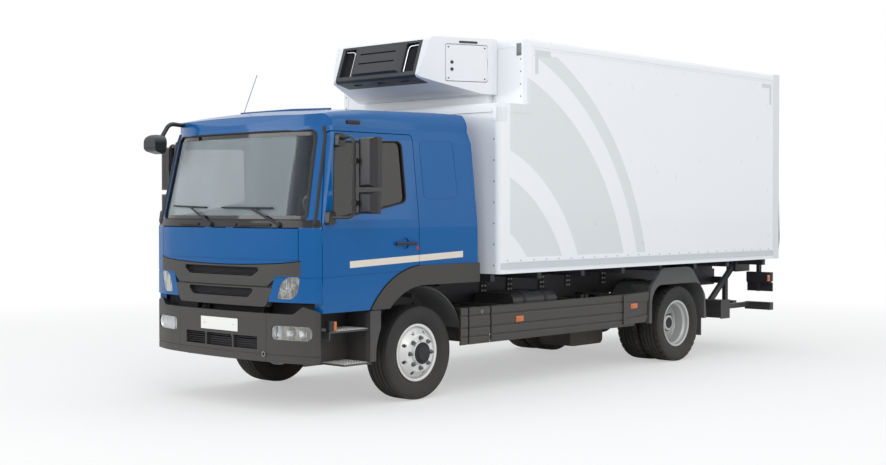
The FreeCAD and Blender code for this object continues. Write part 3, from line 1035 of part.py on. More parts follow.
def make_tail_lift():
    """Lift beam, arms, tilt cylinders, head, platform, rear guard and lamps."""
    y0, y1, z0, z1 = LIFT_BEAM
    beam = prism_x([(y0, z0, 15), (y1, z0, 15), (y1, z1, 15), (y0, z1, 15)], -1100, 1100)
    ends = [box(1100, 1108, y0 - 8, y1 + 8, z0 - 8, z1 + 8), box(-1108, -1100, y0 - 8, y1 + 8, z0 - 8, z1 + 8)]
    mounts = [box(RAIL_OUTER + SEAT_GAP, RAIL_OUTER + 20, y0 - 20, y1 + 60, z1 - 40, RAIL_HIGH - 30)]
    mounts.append(mirrored(mounts[0]))
    link_start = (LIFT_PIVOT[0] + LINK_OFFSET[0], LIFT_PIVOT[1] + LINK_OFFSET[1])
    link_end = (LIFT_HEAD_PIVOT[0] + LINK_OFFSET[0], LIFT_HEAD_PIVOT[1] + LINK_OFFSET[1])
    lugs = []
    for x0, x1 in ((ARM_X[1] + 5, ARM_X[1] + 20), (LINK_X[0] - 20, LINK_X[0] - 5)):
        lugs.append(box(x0, x1, y1 - 1, LIFT_PIVOT[0] + 30, z0 + 40, z1))
    pins = [rod((LINK_X[0] - 20, *p), (ARM_X[1] + 20, *p), PIN_RADIUS) for p in (LIFT_PIVOT, link_start)]
    left = lugs + pins
    save("lift_beam", joined([beam] + ends + mounts + left + [mirrored(s) for s in left]))

    arm = bar(ARM_X, LIFT_PIVOT, LIFT_HEAD_PIVOT, ARM_HEIGHT, PIN_RADIUS)
    save("lift_arms", *both(arm))
    link = bar(LINK_X, link_start, link_end, LINK_HEIGHT, PIN_RADIUS)
    save("tilt_cylinders", *both(link))

    head = []
    for x0, x1 in ((ARM_X[1] + 5, ARM_X[1] + 20), (LINK_X[0] - 20, LINK_X[0] - 5)):
        head.append(box(x0, x1, LIFT_HEAD_PIVOT[0] - 45, FOLD_PIVOT[0] - 10, 945, 1085))
    head += [rod((LINK_X[0] - 20, *p), (ARM_X[1] + 20, *p), PIN_RADIUS) for p in (LIFT_HEAD_PIVOT, link_end)]
    tube = rod((-900, *FOLD_PIVOT), (900, *FOLD_PIVOT), 20)
    save("lift_head", joined(head + [mirrored(s) for s in head] + [tube]))

    skin = PLATFORM_SKIN
    plate = prism_x([(PLATFORM_INNER, PLATFORM_LOW), (PLATFORM_INNER + skin, PLATFORM_LOW),
                     (WHEELBASE + REAR_OVERHANG, PLATFORM_LOW + 200), (WHEELBASE + REAR_OVERHANG, PLATFORM_LOW + 260),
                     (PLATFORM_INNER + 20, PLATFORM_HIGH), (PLATFORM_INNER, PLATFORM_HIGH)], -PLATFORM_HALF, PLATFORM_HALF)
    wall, half = PLATFORM_WALL, PLATFORM_HALF + 1
    pitch = (PLATFORM_HIGH - PLATFORM_LOW - 260) / PLATFORM_CELLS
    core = prism_x([(PLATFORM_INNER + wall, PLATFORM_LOW + 60), (PLATFORM_INNER + skin - wall, PLATFORM_LOW + 60),
                    (WHEELBASE + REAR_OVERHANG - wall, PLATFORM_LOW + 215),
                    (WHEELBASE + REAR_OVERHANG - wall, PLATFORM_LOW + 255),
                    (PLATFORM_INNER + 20, PLATFORM_HIGH - 40), (PLATFORM_INNER + wall, PLATFORM_HIGH - 40)], -half, half)
    ribs = [box(-half, half, PLATFORM_INNER, PLATFORM_INNER + 200, PLATFORM_LOW + 60 + pitch * n - wall / 2,
                PLATFORM_LOW + 60 + pitch * n + wall / 2) for n in range(1, PLATFORM_CELLS + 1)]
    plate = plate.cut(core.cut(ribs))
    knuckles = []
    for x in (-560, 0, 560):
        ear = prism_x([(FOLD_PIVOT[0] - 32, FOLD_PIVOT[1] - 32, 30), (FOLD_PIVOT[0] + 32, FOLD_PIVOT[1] - 32, 30),
                       (FOLD_PIVOT[0] + 32, PLATFORM_LOW + 2), (FOLD_PIVOT[0] - 32, PLATFORM_LOW + 2)], x - 60, x + 60)
        knuckles.append(ear.cut(rod((x - 70, *FOLD_PIVOT), (x + 70, *FOLD_PIVOT), 20.5)))
    save("lift_platform", joined([plate] + knuckles))

    guard_y = (BOX_REAR - 25.5, BOX_REAR + 54.5)
    drop_y = (RAIL_REAR - 60, RAIL_REAR)
    centre = box(-680, 680, guard_y[0], guard_y[1], 471, 565)
    stub = box(845, 1200, guard_y[0], guard_y[1], 471, 565)
    drop = [box(600, 650, *drop_y, 520, RAIL_LOW + 100),
            box(RAIL_OUTER + SEAT_GAP, 650, *drop_y, RAIL_LOW + 20, RAIL_LOW + 100),
            box(600, 650, drop_y[0], guard_y[0] + 1, 480, 560)]
    outer_drop = [box(845, 905, y1 + SEAT_GAP, guard_y[0] + 1, 500, 560)]
    left = drop + outer_drop
    save("underride_guard", joined([centre] + drop + [mirrored(s) for s in drop]), joined([stub] + outer_drop),
         mirrored(joined([stub] + outer_drop)))

    back, rear = BOX_REAR - 15.5, BOX_REAR + 44.5
    plate = box(845, 1200, rear - 10, rear, 700, 812)
    cluster = box(860, 1195, back, rear + 10, 825, 940)
    hanger = box(1000, 1040, back, rear, 700, BOX_LOW - 1)
    top = box(960, 1100, BOX_REAR - 135.5, rear, BOX_LOW - 13, BOX_LOW - SEAT_GAP)
    save("rear_lamps", *both(joined([plate, cluster, hanger, top])))


def make_kerb_mirror():
    """Mirror on an arm over the far front corner of the cab."""
    arm = tube([(-900, -1090, 2520), (-900, -1300, 2535), (-900, -1390, 2400)], 20, 90)
    front = -FRONT_OVERHANG - KERB_MIRROR_REACH
    head = prism_y([(-990, 2240, 70), (-810, 2240, 70), (-810, 2425, 80), (-990, 2425, 80)], front, front + 140)
    head = head.common(prism_x([(front, 2275, 45), (front + 125, 2240, 20), (front + 135, 2425, 20),
                                (front, 2425, 60)], -1000, -800))
    save("kerb_mirror", joined([arm.cut(cab_outer).cut(roof_solid(0)), head]))


os.makedirs("parts", exist_ok=True)
make_cab()
make_doors()
make_wheels()
make_chassis()
make_box()
make_unit()
make_tail_lift()
make_kerb_mirror()
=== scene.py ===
"""Surface finishes and small fittings of a refrigerated box truck, built around its solid model."""

import logging
import math
from dataclasses import dataclass, field, replace
from enum import Enum
from typing import Callable, Iterable, Sequence

import bmesh
import bpy
from mathutils import Matrix, Vector


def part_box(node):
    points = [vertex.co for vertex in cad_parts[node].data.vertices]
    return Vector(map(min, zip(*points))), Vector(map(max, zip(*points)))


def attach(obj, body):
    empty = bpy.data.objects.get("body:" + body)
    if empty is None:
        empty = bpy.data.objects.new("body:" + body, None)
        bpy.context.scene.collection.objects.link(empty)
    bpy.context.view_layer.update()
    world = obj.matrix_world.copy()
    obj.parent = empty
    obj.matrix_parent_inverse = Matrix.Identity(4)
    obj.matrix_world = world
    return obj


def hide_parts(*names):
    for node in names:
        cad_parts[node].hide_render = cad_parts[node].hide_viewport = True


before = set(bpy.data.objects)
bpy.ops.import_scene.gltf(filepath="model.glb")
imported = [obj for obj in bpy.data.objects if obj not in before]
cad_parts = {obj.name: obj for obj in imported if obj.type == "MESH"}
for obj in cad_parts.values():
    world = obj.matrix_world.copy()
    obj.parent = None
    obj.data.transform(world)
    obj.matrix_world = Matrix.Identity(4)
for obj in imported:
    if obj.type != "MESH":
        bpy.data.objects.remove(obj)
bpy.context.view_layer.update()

Point = tuple[float, float, float]
Spot = tuple[float, float]
Corners = tuple[tuple[float, ...], ...]
Colour = tuple[float, float, float, float]

FRONT_AXLE_Y = sum(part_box("front_tyre_left")[i].y for i in (0, 1)) / 2
REAR_AXLE_Y = sum(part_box("rear_tyres_left")[i].y for i in (0, 1)) / 2
WHEELBASE = REAR_AXLE_Y - FRONT_AXLE_Y
HUB_Z = sum(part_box("front_tyre_left")[i].z for i in (0, 1)) / 2
LEFTWARD: Point = (1.0, 0.0, 0.0)
FORWARD: Point = (0.0, -1.0, 0.0)
BACKWARD: Point = (0.0, 1.0, 0.0)
UPWARD: Point = (0.0, 0.0, 1.0)

log = logging.getLogger("truck")


class Side(Enum):
    """A side of the vehicle, with its sign along X."""

    LEFT = 1
    RIGHT = -1

    @property
    def word(self) -> str:
        """The side's name in lower case."""
        return self.name.lower()


def tone(red: int, green: int, blue: int) -> Colour:
    """A screen colour as the shader's linear values.

    Args:
        red: Red on the screen, 0 to 255.
        green: Green on the screen, 0 to 255.
        blue: Blue on the screen, 0 to 255.

    Returns:
        Linear red, green, blue and an alpha of one.
    """
    def linear(step: int) -> float:
        share = step / 255
        return share / 12.92 if share <= 0.04045 else ((share + 0.055) / 1.055) ** 2.4
    return (linear(red), linear(green), linear(blue), 1.0)


BLUE = tone(0, 90, 154)
CREAM = tone(226, 217, 202)
BLACK = tone(28, 28, 30)


class Signal:
    """An output socket of a shader, with Python's operators for its maths."""

    def __init__(self, board: "Board", socket: bpy.types.NodeSocket) -> None:
        """Wrap a socket of a board."""
        self.board = board
        self.socket = socket

    def _math(self, operation: str, first: object, second: object = None) -> "Signal":
        """Add a Math node and return its value."""
        values = {0: first} if second is None else {0: first, 1: second}
        return self.board.out("ShaderNodeMath", {"operation": operation}, values)

    def __add__(self, other: object) -> "Signal":
        """Sum with a number or signal."""
        return self._math("ADD", self, other)

    __radd__ = __add__

    def __sub__(self, other: object) -> "Signal":
        """Difference from a number or signal."""
        return self._math("SUBTRACT", self, other)

    def __rsub__(self, other: object) -> "Signal":
        """Difference of a number from this signal."""
        return self._math("SUBTRACT", other, self)

    def __mul__(self, other: object) -> "Signal":
        """Product with a number or signal."""
        return self._math("MULTIPLY", self, other)

    __rmul__ = __mul__

    def __truediv__(self, other: object) -> "Signal":
        """Quotient by a number or signal."""
        return self._math("DIVIDE", self, other)

    def __pow__(self, other: object) -> "Signal":
        """Power of a number or signal."""
        return self._math("POWER", self, other)

    def __abs__(self) -> "Signal":
        """Distance from zero."""
        return self._math("ABSOLUTE", self)

    def sine(self) -> "Signal":
        """Sine of this signal."""
        return self._math("SINE", self)

    def over(self, edge: float, soft: float = 0.001) -> "Signal":
        """Zero below an edge and one above it, with a soft step.

        Args:
            edge: Where the step lies.
            soft: How wide the step is.

        Returns:
            A mask from zero to one.
        """
        return self.board.out("ShaderNodeMapRange", {"interpolation_type": "SMOOTHSTEP"}, {
            "Value": self, "From Min": edge - soft, "From Max": edge + soft})

    def within(self, low: float, high: float, soft: float = 0.001) -> "Signal":
        """One between two edges, zero outside them."""
        return self.over(low, soft) * (1 - self.over(high, soft))


class Board:
    """The node tree of one material, with its Principled shader and Object coordinates."""

    def __init__(self, name: str) -> None:
        """Start an empty material with a shader and an output."""
        self.material = bpy.data.materials.new(name)
        self.material.use_nodes = True
        self.tree = self.material.node_tree
        self.tree.nodes.clear()
        self.shader = self.node("ShaderNodeBsdfPrincipled", {}, {})
        self.output = self.node("ShaderNodeOutputMaterial", {}, {"Surface": self.shader.outputs[0]})
        self.place = self.node("ShaderNodeTexCoord", {}, {}).outputs["Object"]
        axes = self.node("ShaderNodeSeparateXYZ", {}, {0: self.place})
        self.x, self.y, self.z = (Signal(self, axes.outputs[i]) for i in range(3))

    def node(self, kind: str, settings: dict[str, object], sockets: dict[object, object]) -> bpy.types.Node:
        """Add a node.

        Args:
            kind: The node's type.
            settings: Its properties, and a ramp's stops under the key "stops".
            sockets: Values or links of its inputs, by name or number.

        Returns:
            The new node.
        """
        node = self.tree.nodes.new(kind)
        for key, value in settings.items():
            if key == "stops":
                self._stops(node, value)
            else:
                setattr(node, key, value)
        for key, value in sockets.items():
            if isinstance(value, Signal):
                self.tree.links.new(value.socket, node.inputs[key])
            elif isinstance(value, bpy.types.NodeSocket):
                self.tree.links.new(value, node.inputs[key])
            else:
                node.inputs[key].default_value = value
        return node

    @staticmethod
    def _stops(node: bpy.types.Node, stops: Sequence[tuple[float, Colour]]) -> None:
        """Set the stops of a colour ramp."""
        ramp = node.color_ramp
        while len(ramp.elements) < len(stops):
            ramp.elements.new(1.0)
        for element, (position, colour) in zip(ramp.elements, stops):
            element.position = position
            element.color = colour

    def out(self, kind: str, settings: dict[str, object], sockets: dict[object, object],
            name: object = 0) -> Signal:
        """Add a node and return one of its outputs."""
        return Signal(self, self.node(kind, settings, sockets).outputs[name])

    def noise(self, scale: float, detail: float = 3.0, stretch: Point = (1.0, 1.0, 1.0)) -> Signal:
        """Cloudy variation about one half.

        Args:
            scale: Clouds to the metre.
            detail: Octaves.
            stretch: Scale along each axis.

        Returns:
            The noise value.
        """
        spot = self.out("ShaderNodeMapping", {}, {"Vector": self.place, "Scale": stretch})
        return self.out("ShaderNodeTexNoise", {}, {"Vector": spot, "Scale": scale, "Detail": detail})

    def blend(self, mask: object, low: object, high: object) -> Signal:
        """Mix two colours by a mask."""
        return Signal(self, self.node("ShaderNodeMix", {"data_type": "RGBA"}, {
            0: mask, 6: low, 7: high}).outputs[2])

    def bump(self, height: object, depth: float, strength: float = 1.0) -> None:
        """Raise the surface by a height signal, depth in metres."""
        bump = self.out("ShaderNodeBump", {}, {"Height": height, "Distance": depth, "Strength": strength})
        self.set("Normal", bump)

    def set(self, name: str, value: object) -> None:
        """Link or set a socket of the shader."""
        if isinstance(value, Signal):
            self.tree.links.new(value.socket, self.shader.inputs[name])
        else:
            self.shader.inputs[name].default_value = value


@dataclass(frozen=True)
class Finish:
    """A surface: its colour, gloss, grain, and how much dirt it has near the road."""

    name: str
    colour: Colour
    roughness: float = 0.4
    metallic: float = 0.0
    coat: float = 0.0
    specular: float = 0.5
    mottle: float = 0.06
    mottle_scale: float = 3.0
    grain: float = 0.0
    grain_scale: float = 900.0
    uneven: float = 0.05
    dust: float = 0.0
    dust_top: float = 1.2
    dust_colour: Colour = tone(128, 120, 110)
    coat_roughness: float = 0.06

    def begin(self, board: Board) -> tuple[Signal, Signal]:
        """Colour and roughness of the finish before anything is painted on it.

        Args:
            board: The material's node tree.

        Returns:
            The colour signal and the roughness signal.
        """
        clouds = board.noise(self.mottle_scale)
        dark = tuple(c * (1 - self.mottle) for c in self.colour[:3]) + (1.0,)
        light = tuple(min(1.0, c * (1 + self.mottle)) for c in self.colour[:3]) + (1.0,)
        colour = board.blend(clouds, dark, light)
        rough = self.roughness + self.uneven * (board.noise(self.mottle_scale * 9, 5.0) - 0.5)
        if self.dust:
            low = 1 - (board.z / self.dust_top).over(0.5, 0.5)
            film = low * board.noise(7.0, 6.0, (1.0, 1.0, 0.4)) * self.dust
            colour = board.blend(film, colour, self.dust_colour)
            rough = rough + film * 0.4
        return colour, rough

    def paint(self, board: Board, colour: Signal, rough: Signal) -> tuple[Signal, Signal]:
        """Colour and roughness with what this finish has on it, which is nothing here."""
        return colour, rough

    def material(self) -> bpy.types.Material:
        """The material of this finish, made once."""
        made = bpy.data.materials.get(self.name)
        if made:
            return made
        board = Board(self.name)
        colour, rough = self.paint(board, *self.begin(board))
        board.set("Base Color", colour)
        board.set("Roughness", rough)
        board.set("Metallic", self.metallic)
        board.set("Specular IOR Level", self.specular)
        if self.coat:
            board.set("Coat Weight", self.coat)
            board.set("Coat Roughness", self.coat_roughness)
        if self.grain and not board.shader.inputs["Normal"].is_linked:
            board.bump(board.noise(self.grain_scale, 2.0), self.grain)
        return board.material


@dataclass(frozen=True)
class CabPaint(Finish):
    """Gloss blue with the black strip under the screen and the cream stripe along the sides."""

    stripe: Spot = (1.233, 1.291)
    stripe_ends: Spot = (-0.92, 0.531)
    stripe_rise: float = 0.038
    stripe_side: float = 1.0
    strip: Spot = (1.5790, 1.6455)
    strip_back: float = -1.238
    strip_rough: float = 0.25
    peel: float = 0.00004
    peel_scale: float = 260.0

    def paint(self, board: Board, colour: Signal, rough: Signal) -> tuple[Signal, Signal]:
        """Lay the stripe and the strip on the blue, with a faint orange peel."""
        length = board.y - FRONT_AXLE_Y
        height = board.z - (length - self.stripe_ends[0]) * self.stripe_rise
        stripe = height.within(*self.stripe) * length.within(*self.stripe_ends) * abs(board.x).over(self.stripe_side)
        colour = board.blend(stripe, colour, CREAM)
        strip = board.z.within(*self.strip, 0.0006) * (1 - length.over(self.strip_back))
        colour = board.blend(strip, colour, BLACK)
        board.bump(board.noise(self.peel_scale, 2.0), self.peel)
        return colour, rough + strip * self.strip_rough


@dataclass(frozen=True)
class PanelPaint(Finish):
    """White body panel with a pale design of curved bands on both sides and a grey base strip."""

    side: float = 1.290
    middle: Spot = (0.4, 0.55)
    counter: Spot = (6.9, 4.4)
    counter_radius: float = 2.7
    rings: tuple[Spot, ...] = ((1.15, 1.62), (1.86, 2.62), (2.86, 3.02))
    design_front: float = 1.04
    design: Spot = (1.27, 3.24)
    marks: tuple[tuple[Spot, Spot], ...] = (
        ((1.42, 1.47), (3.05, 3.285)), ((1.42, 1.665), (3.225, 3.285)),
        ((6.012, 6.067), (3.011, 3.261)), ((5.83, 6.067), (3.21, 3.261)))
    base: Spot = (1.158, 1.222)
    band_colour: Colour = tone(222, 226, 228)
    mark_colour: Colour = tone(212, 216, 218)
    base_colour: Colour = tone(206, 212, 215)

    def paint(self, board: Board, colour: Signal, rough: Signal) -> tuple[Signal, Signal]:
        """Lay the bands, the corner marks and the base strip on both sides."""
        length = board.y - FRONT_AXLE_Y
        side = abs(board.x).over(self.side)
        reach, counter = (((length - y) ** 2.0 + (board.z - z) ** 2.0) ** 0.5 for y, z in (self.middle, self.counter))
        first, second, third = (reach.within(*ring) for ring in self.rings)
        bands = first + second * counter.over(self.counter_radius) + third
        bands = bands * length.over(self.design_front) * board.z.within(*self.design)
        marks = sum(length.within(*across) * board.z.within(*up) for across, up in self.marks)
        colour = board.blend(bands * side, colour, self.band_colour)
        colour = board.blend(marks * side, colour, self.mark_colour)
        return board.blend(board.z.within(*self.base) * side, colour, self.base_colour), rough


@dataclass(frozen=True)
class Fabric(Finish):
    """Dark woven seat cloth."""

    weave: float = 2600.0
    thread: Colour = tone(46, 48, 55)
    nap: float = 0.0006

    def paint(self, board: Board, colour: Signal, rough: Signal) -> tuple[Signal, Signal]:
        """Weave two threads across each other."""
        weave = (board.x * self.weave).sine() * ((board.y + board.z) * self.weave).sine()
        board.bump(weave * 0.5 + board.noise(500.0, 2.0) * 0.5, self.nap)
        return board.blend(weave.over(0.2, 0.6), colour, self.thread), rough


@dataclass(frozen=True)
class TyreRubber(Finish):
    """Tyre rubber with fine radial ribs on its shoulder and rings on its wall."""

    axle_y: float = 0.0
    ribs: float = 150.0
    rib_band: Spot = (0.375, 0.41)
    rings: float = 900.0
    ring_band: Spot = (0.30, 0.345)
    relief: float = 0.0012

    def paint(self, board: Board, colour: Signal, rough: Signal) -> tuple[Signal, Signal]:
        """Raise the ribs and rings about the wheel's axle."""
        along_y, up = board.y - self.axle_y, board.z - HUB_Z
        radius = (along_y * along_y + up * up) ** 0.5
        turn = board.out("ShaderNodeMath", {"operation": "ARCTAN2"}, {0: up, 1: along_y})
        ribs = (turn * self.ribs).sine() * radius.within(*self.rib_band, 0.003)
        rings = (radius * self.rings).sine() * radius.within(*self.ring_band, 0.003)
        board.bump(ribs * 0.6 + rings * 0.4 + board.noise(420.0, 2.0) * 0.3, self.relief)
        return colour, rough


@dataclass(frozen=True)
class Glass:
    """Tinted glass that shows what is behind it and reflects more at a slant."""

    name: str
    tint: Colour
    solid: float
    rimmed: bool = False
    roughness: float = 0.04
    specular: float = 0.4
    coat: float = 0.4
    coat_roughness: float = 0.02
    rim_side: float = 0.970
    rim_lean: float = 0.0588
    rim_foot: float = 1.645
    rim_heights: Spot = (1.680, 2.368)

    def rim(self, board: Board) -> Signal:
        """Mask of the black border printed round the windscreen."""
        low, high = self.rim_heights
        sides = (abs(board.x) + (board.z - self.rim_foot) * self.rim_lean).over(self.rim_side, 0.0008)
        return sides + (1 - board.z.over(low, 0.0008)) + board.z.over(high, 0.0008)

    def material(self) -> bpy.types.Material:
        """The glass as a material."""
        board = Board(self.name)
        streaks = board.noise(3.0, 5.0, (1.0, 1.0, 0.3))
        shine = board.out("ShaderNodeLayerWeight", {}, {"Blend": 0.35}, "Fresnel")
        colour = board.blend(streaks, self.tint, tuple(c * 0.8 for c in self.tint[:3]) + (1.0,))
        cover = self.solid + shine * 0.7
        if self.rimmed:
            rim = self.rim(board)
            colour = board.blend(rim, colour, BLACK)
            cover = cover + rim
        board.set("Base Color", colour)
        board.set("Roughness", self.roughness + 0.05 * streaks)
        board.set("Specular IOR Level", self.specular)
        board.set("Coat Weight", self.coat)
        board.set("Coat Roughness", self.coat_roughness)
        board.set("Alpha", cover.over(0.5, 0.5))
        return board.material


GREY_PLASTIC = Finish("grained_grey_plastic", tone(54, 52, 50), 0.5, grain=0.0004, dust=0.2, dust_top=0.9)
BLACK_PLASTIC = Finish("black_plastic", tone(30, 30, 32), 0.42, grain=0.0003, dust=0.1)
MIRROR_PLASTIC = Finish("mirror_plastic", tone(34, 34, 36), 0.3, grain=0.0001)
INNER_TRIM = Finish("cab_trim", tone(150, 151, 152), 0.6, grain=0.0004, grain_scale=500)
STEP_PLASTIC = Finish("step_plastic", tone(62, 61, 61), 0.55, grain=0.0004, dust=0.5, dust_top=0.9)
CHASSIS = Finish("chassis_paint", tone(38, 38, 40), 0.5, mottle=0.2, grain=0.0006, grain_scale=60, dust=0.35)
CASTING = Finish("cast_iron", tone(52, 50, 48), 0.65, metallic=0.3, mottle=0.25, grain=0.0012, grain_scale=130,
                 dust=0.5)
ENGINE = Finish("engine_paint", tone(74, 76, 78), 0.55, metallic=0.2, mottle=0.25, grain=0.001, grain_scale=90,
                dust=0.4)
SKIRT = Finish("skirt_paint", tone(58, 56, 54), 0.42, grain=0.0002, dust=0.22, dust_top=0.9)
TANK = Finish("tank_paint", tone(40, 40, 42), 0.4, mottle=0.1, grain=0.0003, grain_scale=200, dust=0.4)
EXHAUST = Finish("exhaust_steel", tone(62, 58, 54), 0.55, metallic=0.3, mottle=0.3, grain=0.0006, grain_scale=70,
                 dust=0.4)
GUARD = Finish("mudguard_plastic", tone(104, 103, 101), 0.4, grain=0.0002, dust=0.3, dust_top=1.1)
LIFT_STEEL = Finish("lift_paint", tone(42, 43, 46), 0.45, mottle=0.15, grain=0.0004, grain_scale=160, dust=0.3)
WHITE_PAINT = Finish("unit_shell", tone(240, 242, 244), 0.25, coat=0.4, mottle=0.01, grain=0.0001, grain_scale=20)
ALUMINIUM = Finish("painted_aluminium", tone(225, 229, 231), 0.35, metallic=0.25, mottle=0.03, grain=0.0002,
                   grain_scale=30)
ANTHRACITE = Finish("unit_anthracite", tone(46, 49, 54), 0.45, grain=0.0004, grain_scale=600)
RIM_SILVER = Finish("rim_silver", tone(232, 232, 230), 0.32, metallic=0.2, mottle=0.04, grain=0.0001, dust=0.12,
                    dust_top=0.9)
RIM_GREY = Finish("rim_grey", tone(200, 201, 200), 0.38, metallic=0.25, mottle=0.08, grain=0.0002, dust=0.25,
                  dust_top=0.9)
CHROME = Finish("bright_metal", tone(225, 226, 228), 0.14, metallic=1.0, mottle=0.02, uneven=0.04)
STEEL = Finish("machined_steel", tone(150, 150, 150), 0.4, metallic=0.9, mottle=0.1, grain=0.0002, grain_scale=300)
ZINC = Finish("zinc_steel", tone(176, 178, 178), 0.42, metallic=0.8, mottle=0.12, mottle_scale=30.0)
ORANGE = Finish("orange_reflector", tone(206, 98, 16), 0.22, coat=0.6, mottle=0.08, mottle_scale=60.0)
RIVET = Finish("rivet_steel", tone(120, 122, 124), 0.45, metallic=0.7, mottle=0.1)
TREAD = Finish("tread_aluminium", tone(228, 228, 224), 0.4, metallic=0.1, mottle=0.04, grain=0.0002, grain_scale=300)
RED = Finish("red_reflector", tone(176, 20, 16), 0.2, coat=0.6, mottle=0.08, mottle_scale=60.0)
PLATE_WHITE = Finish("plate_white", tone(244, 244, 240), 0.35, coat=0.3, mottle=0.01)
RUBBER = Finish("rubber", tone(26, 26, 27), 0.7, mottle=0.12, grain=0.0003, grain_scale=400)
LAMP_TUB = Finish("lamp_tub", tone(236, 232, 218), 0.3, mottle=0.03)
CAB_PAINT = CabPaint("cab_enamel", BLUE, 0.26, specular=0.12, coat=0.45, mottle=0.03, mottle_scale=1.2, uneven=0.03,
                     dust=0.1, dust_top=1.1)
PANEL = PanelPaint("panel_enamel", tone(241, 244, 247), 0.28, coat=0.5, mottle=0.008, mottle_scale=0.8, uneven=0.03)
SEAT_CLOTH = Fabric("seat_fabric", tone(58, 60, 68), 0.85, mottle=0.12, mottle_scale=9.0)
FRONT_RUBBER = TyreRubber("front_tyre_rubber", tone(33, 32, 31), 0.68, mottle=0.16, mottle_scale=14.0, dust=0.22,
                          dust_top=0.9, axle_y=FRONT_AXLE_Y)
REAR_RUBBER = replace(FRONT_RUBBER, name="rear_tyre_rubber", axle_y=REAR_AXLE_Y)
# Near door glass: its own dark tint, plus a darker, mostly opaque cover that is painted shade of the cab interior
# behind it.
SIDE_GLASS_PAINTED_SHADE = Glass("side_glass_painted_shade", tone(40, 36, 33), 0.6)
SCREEN_GLASS = Glass("screen_glass", tone(196, 208, 212), 0.08, rimmed=True)
KERB_GLASS = Glass("kerb_glass", tone(205, 210, 212), 0.08)


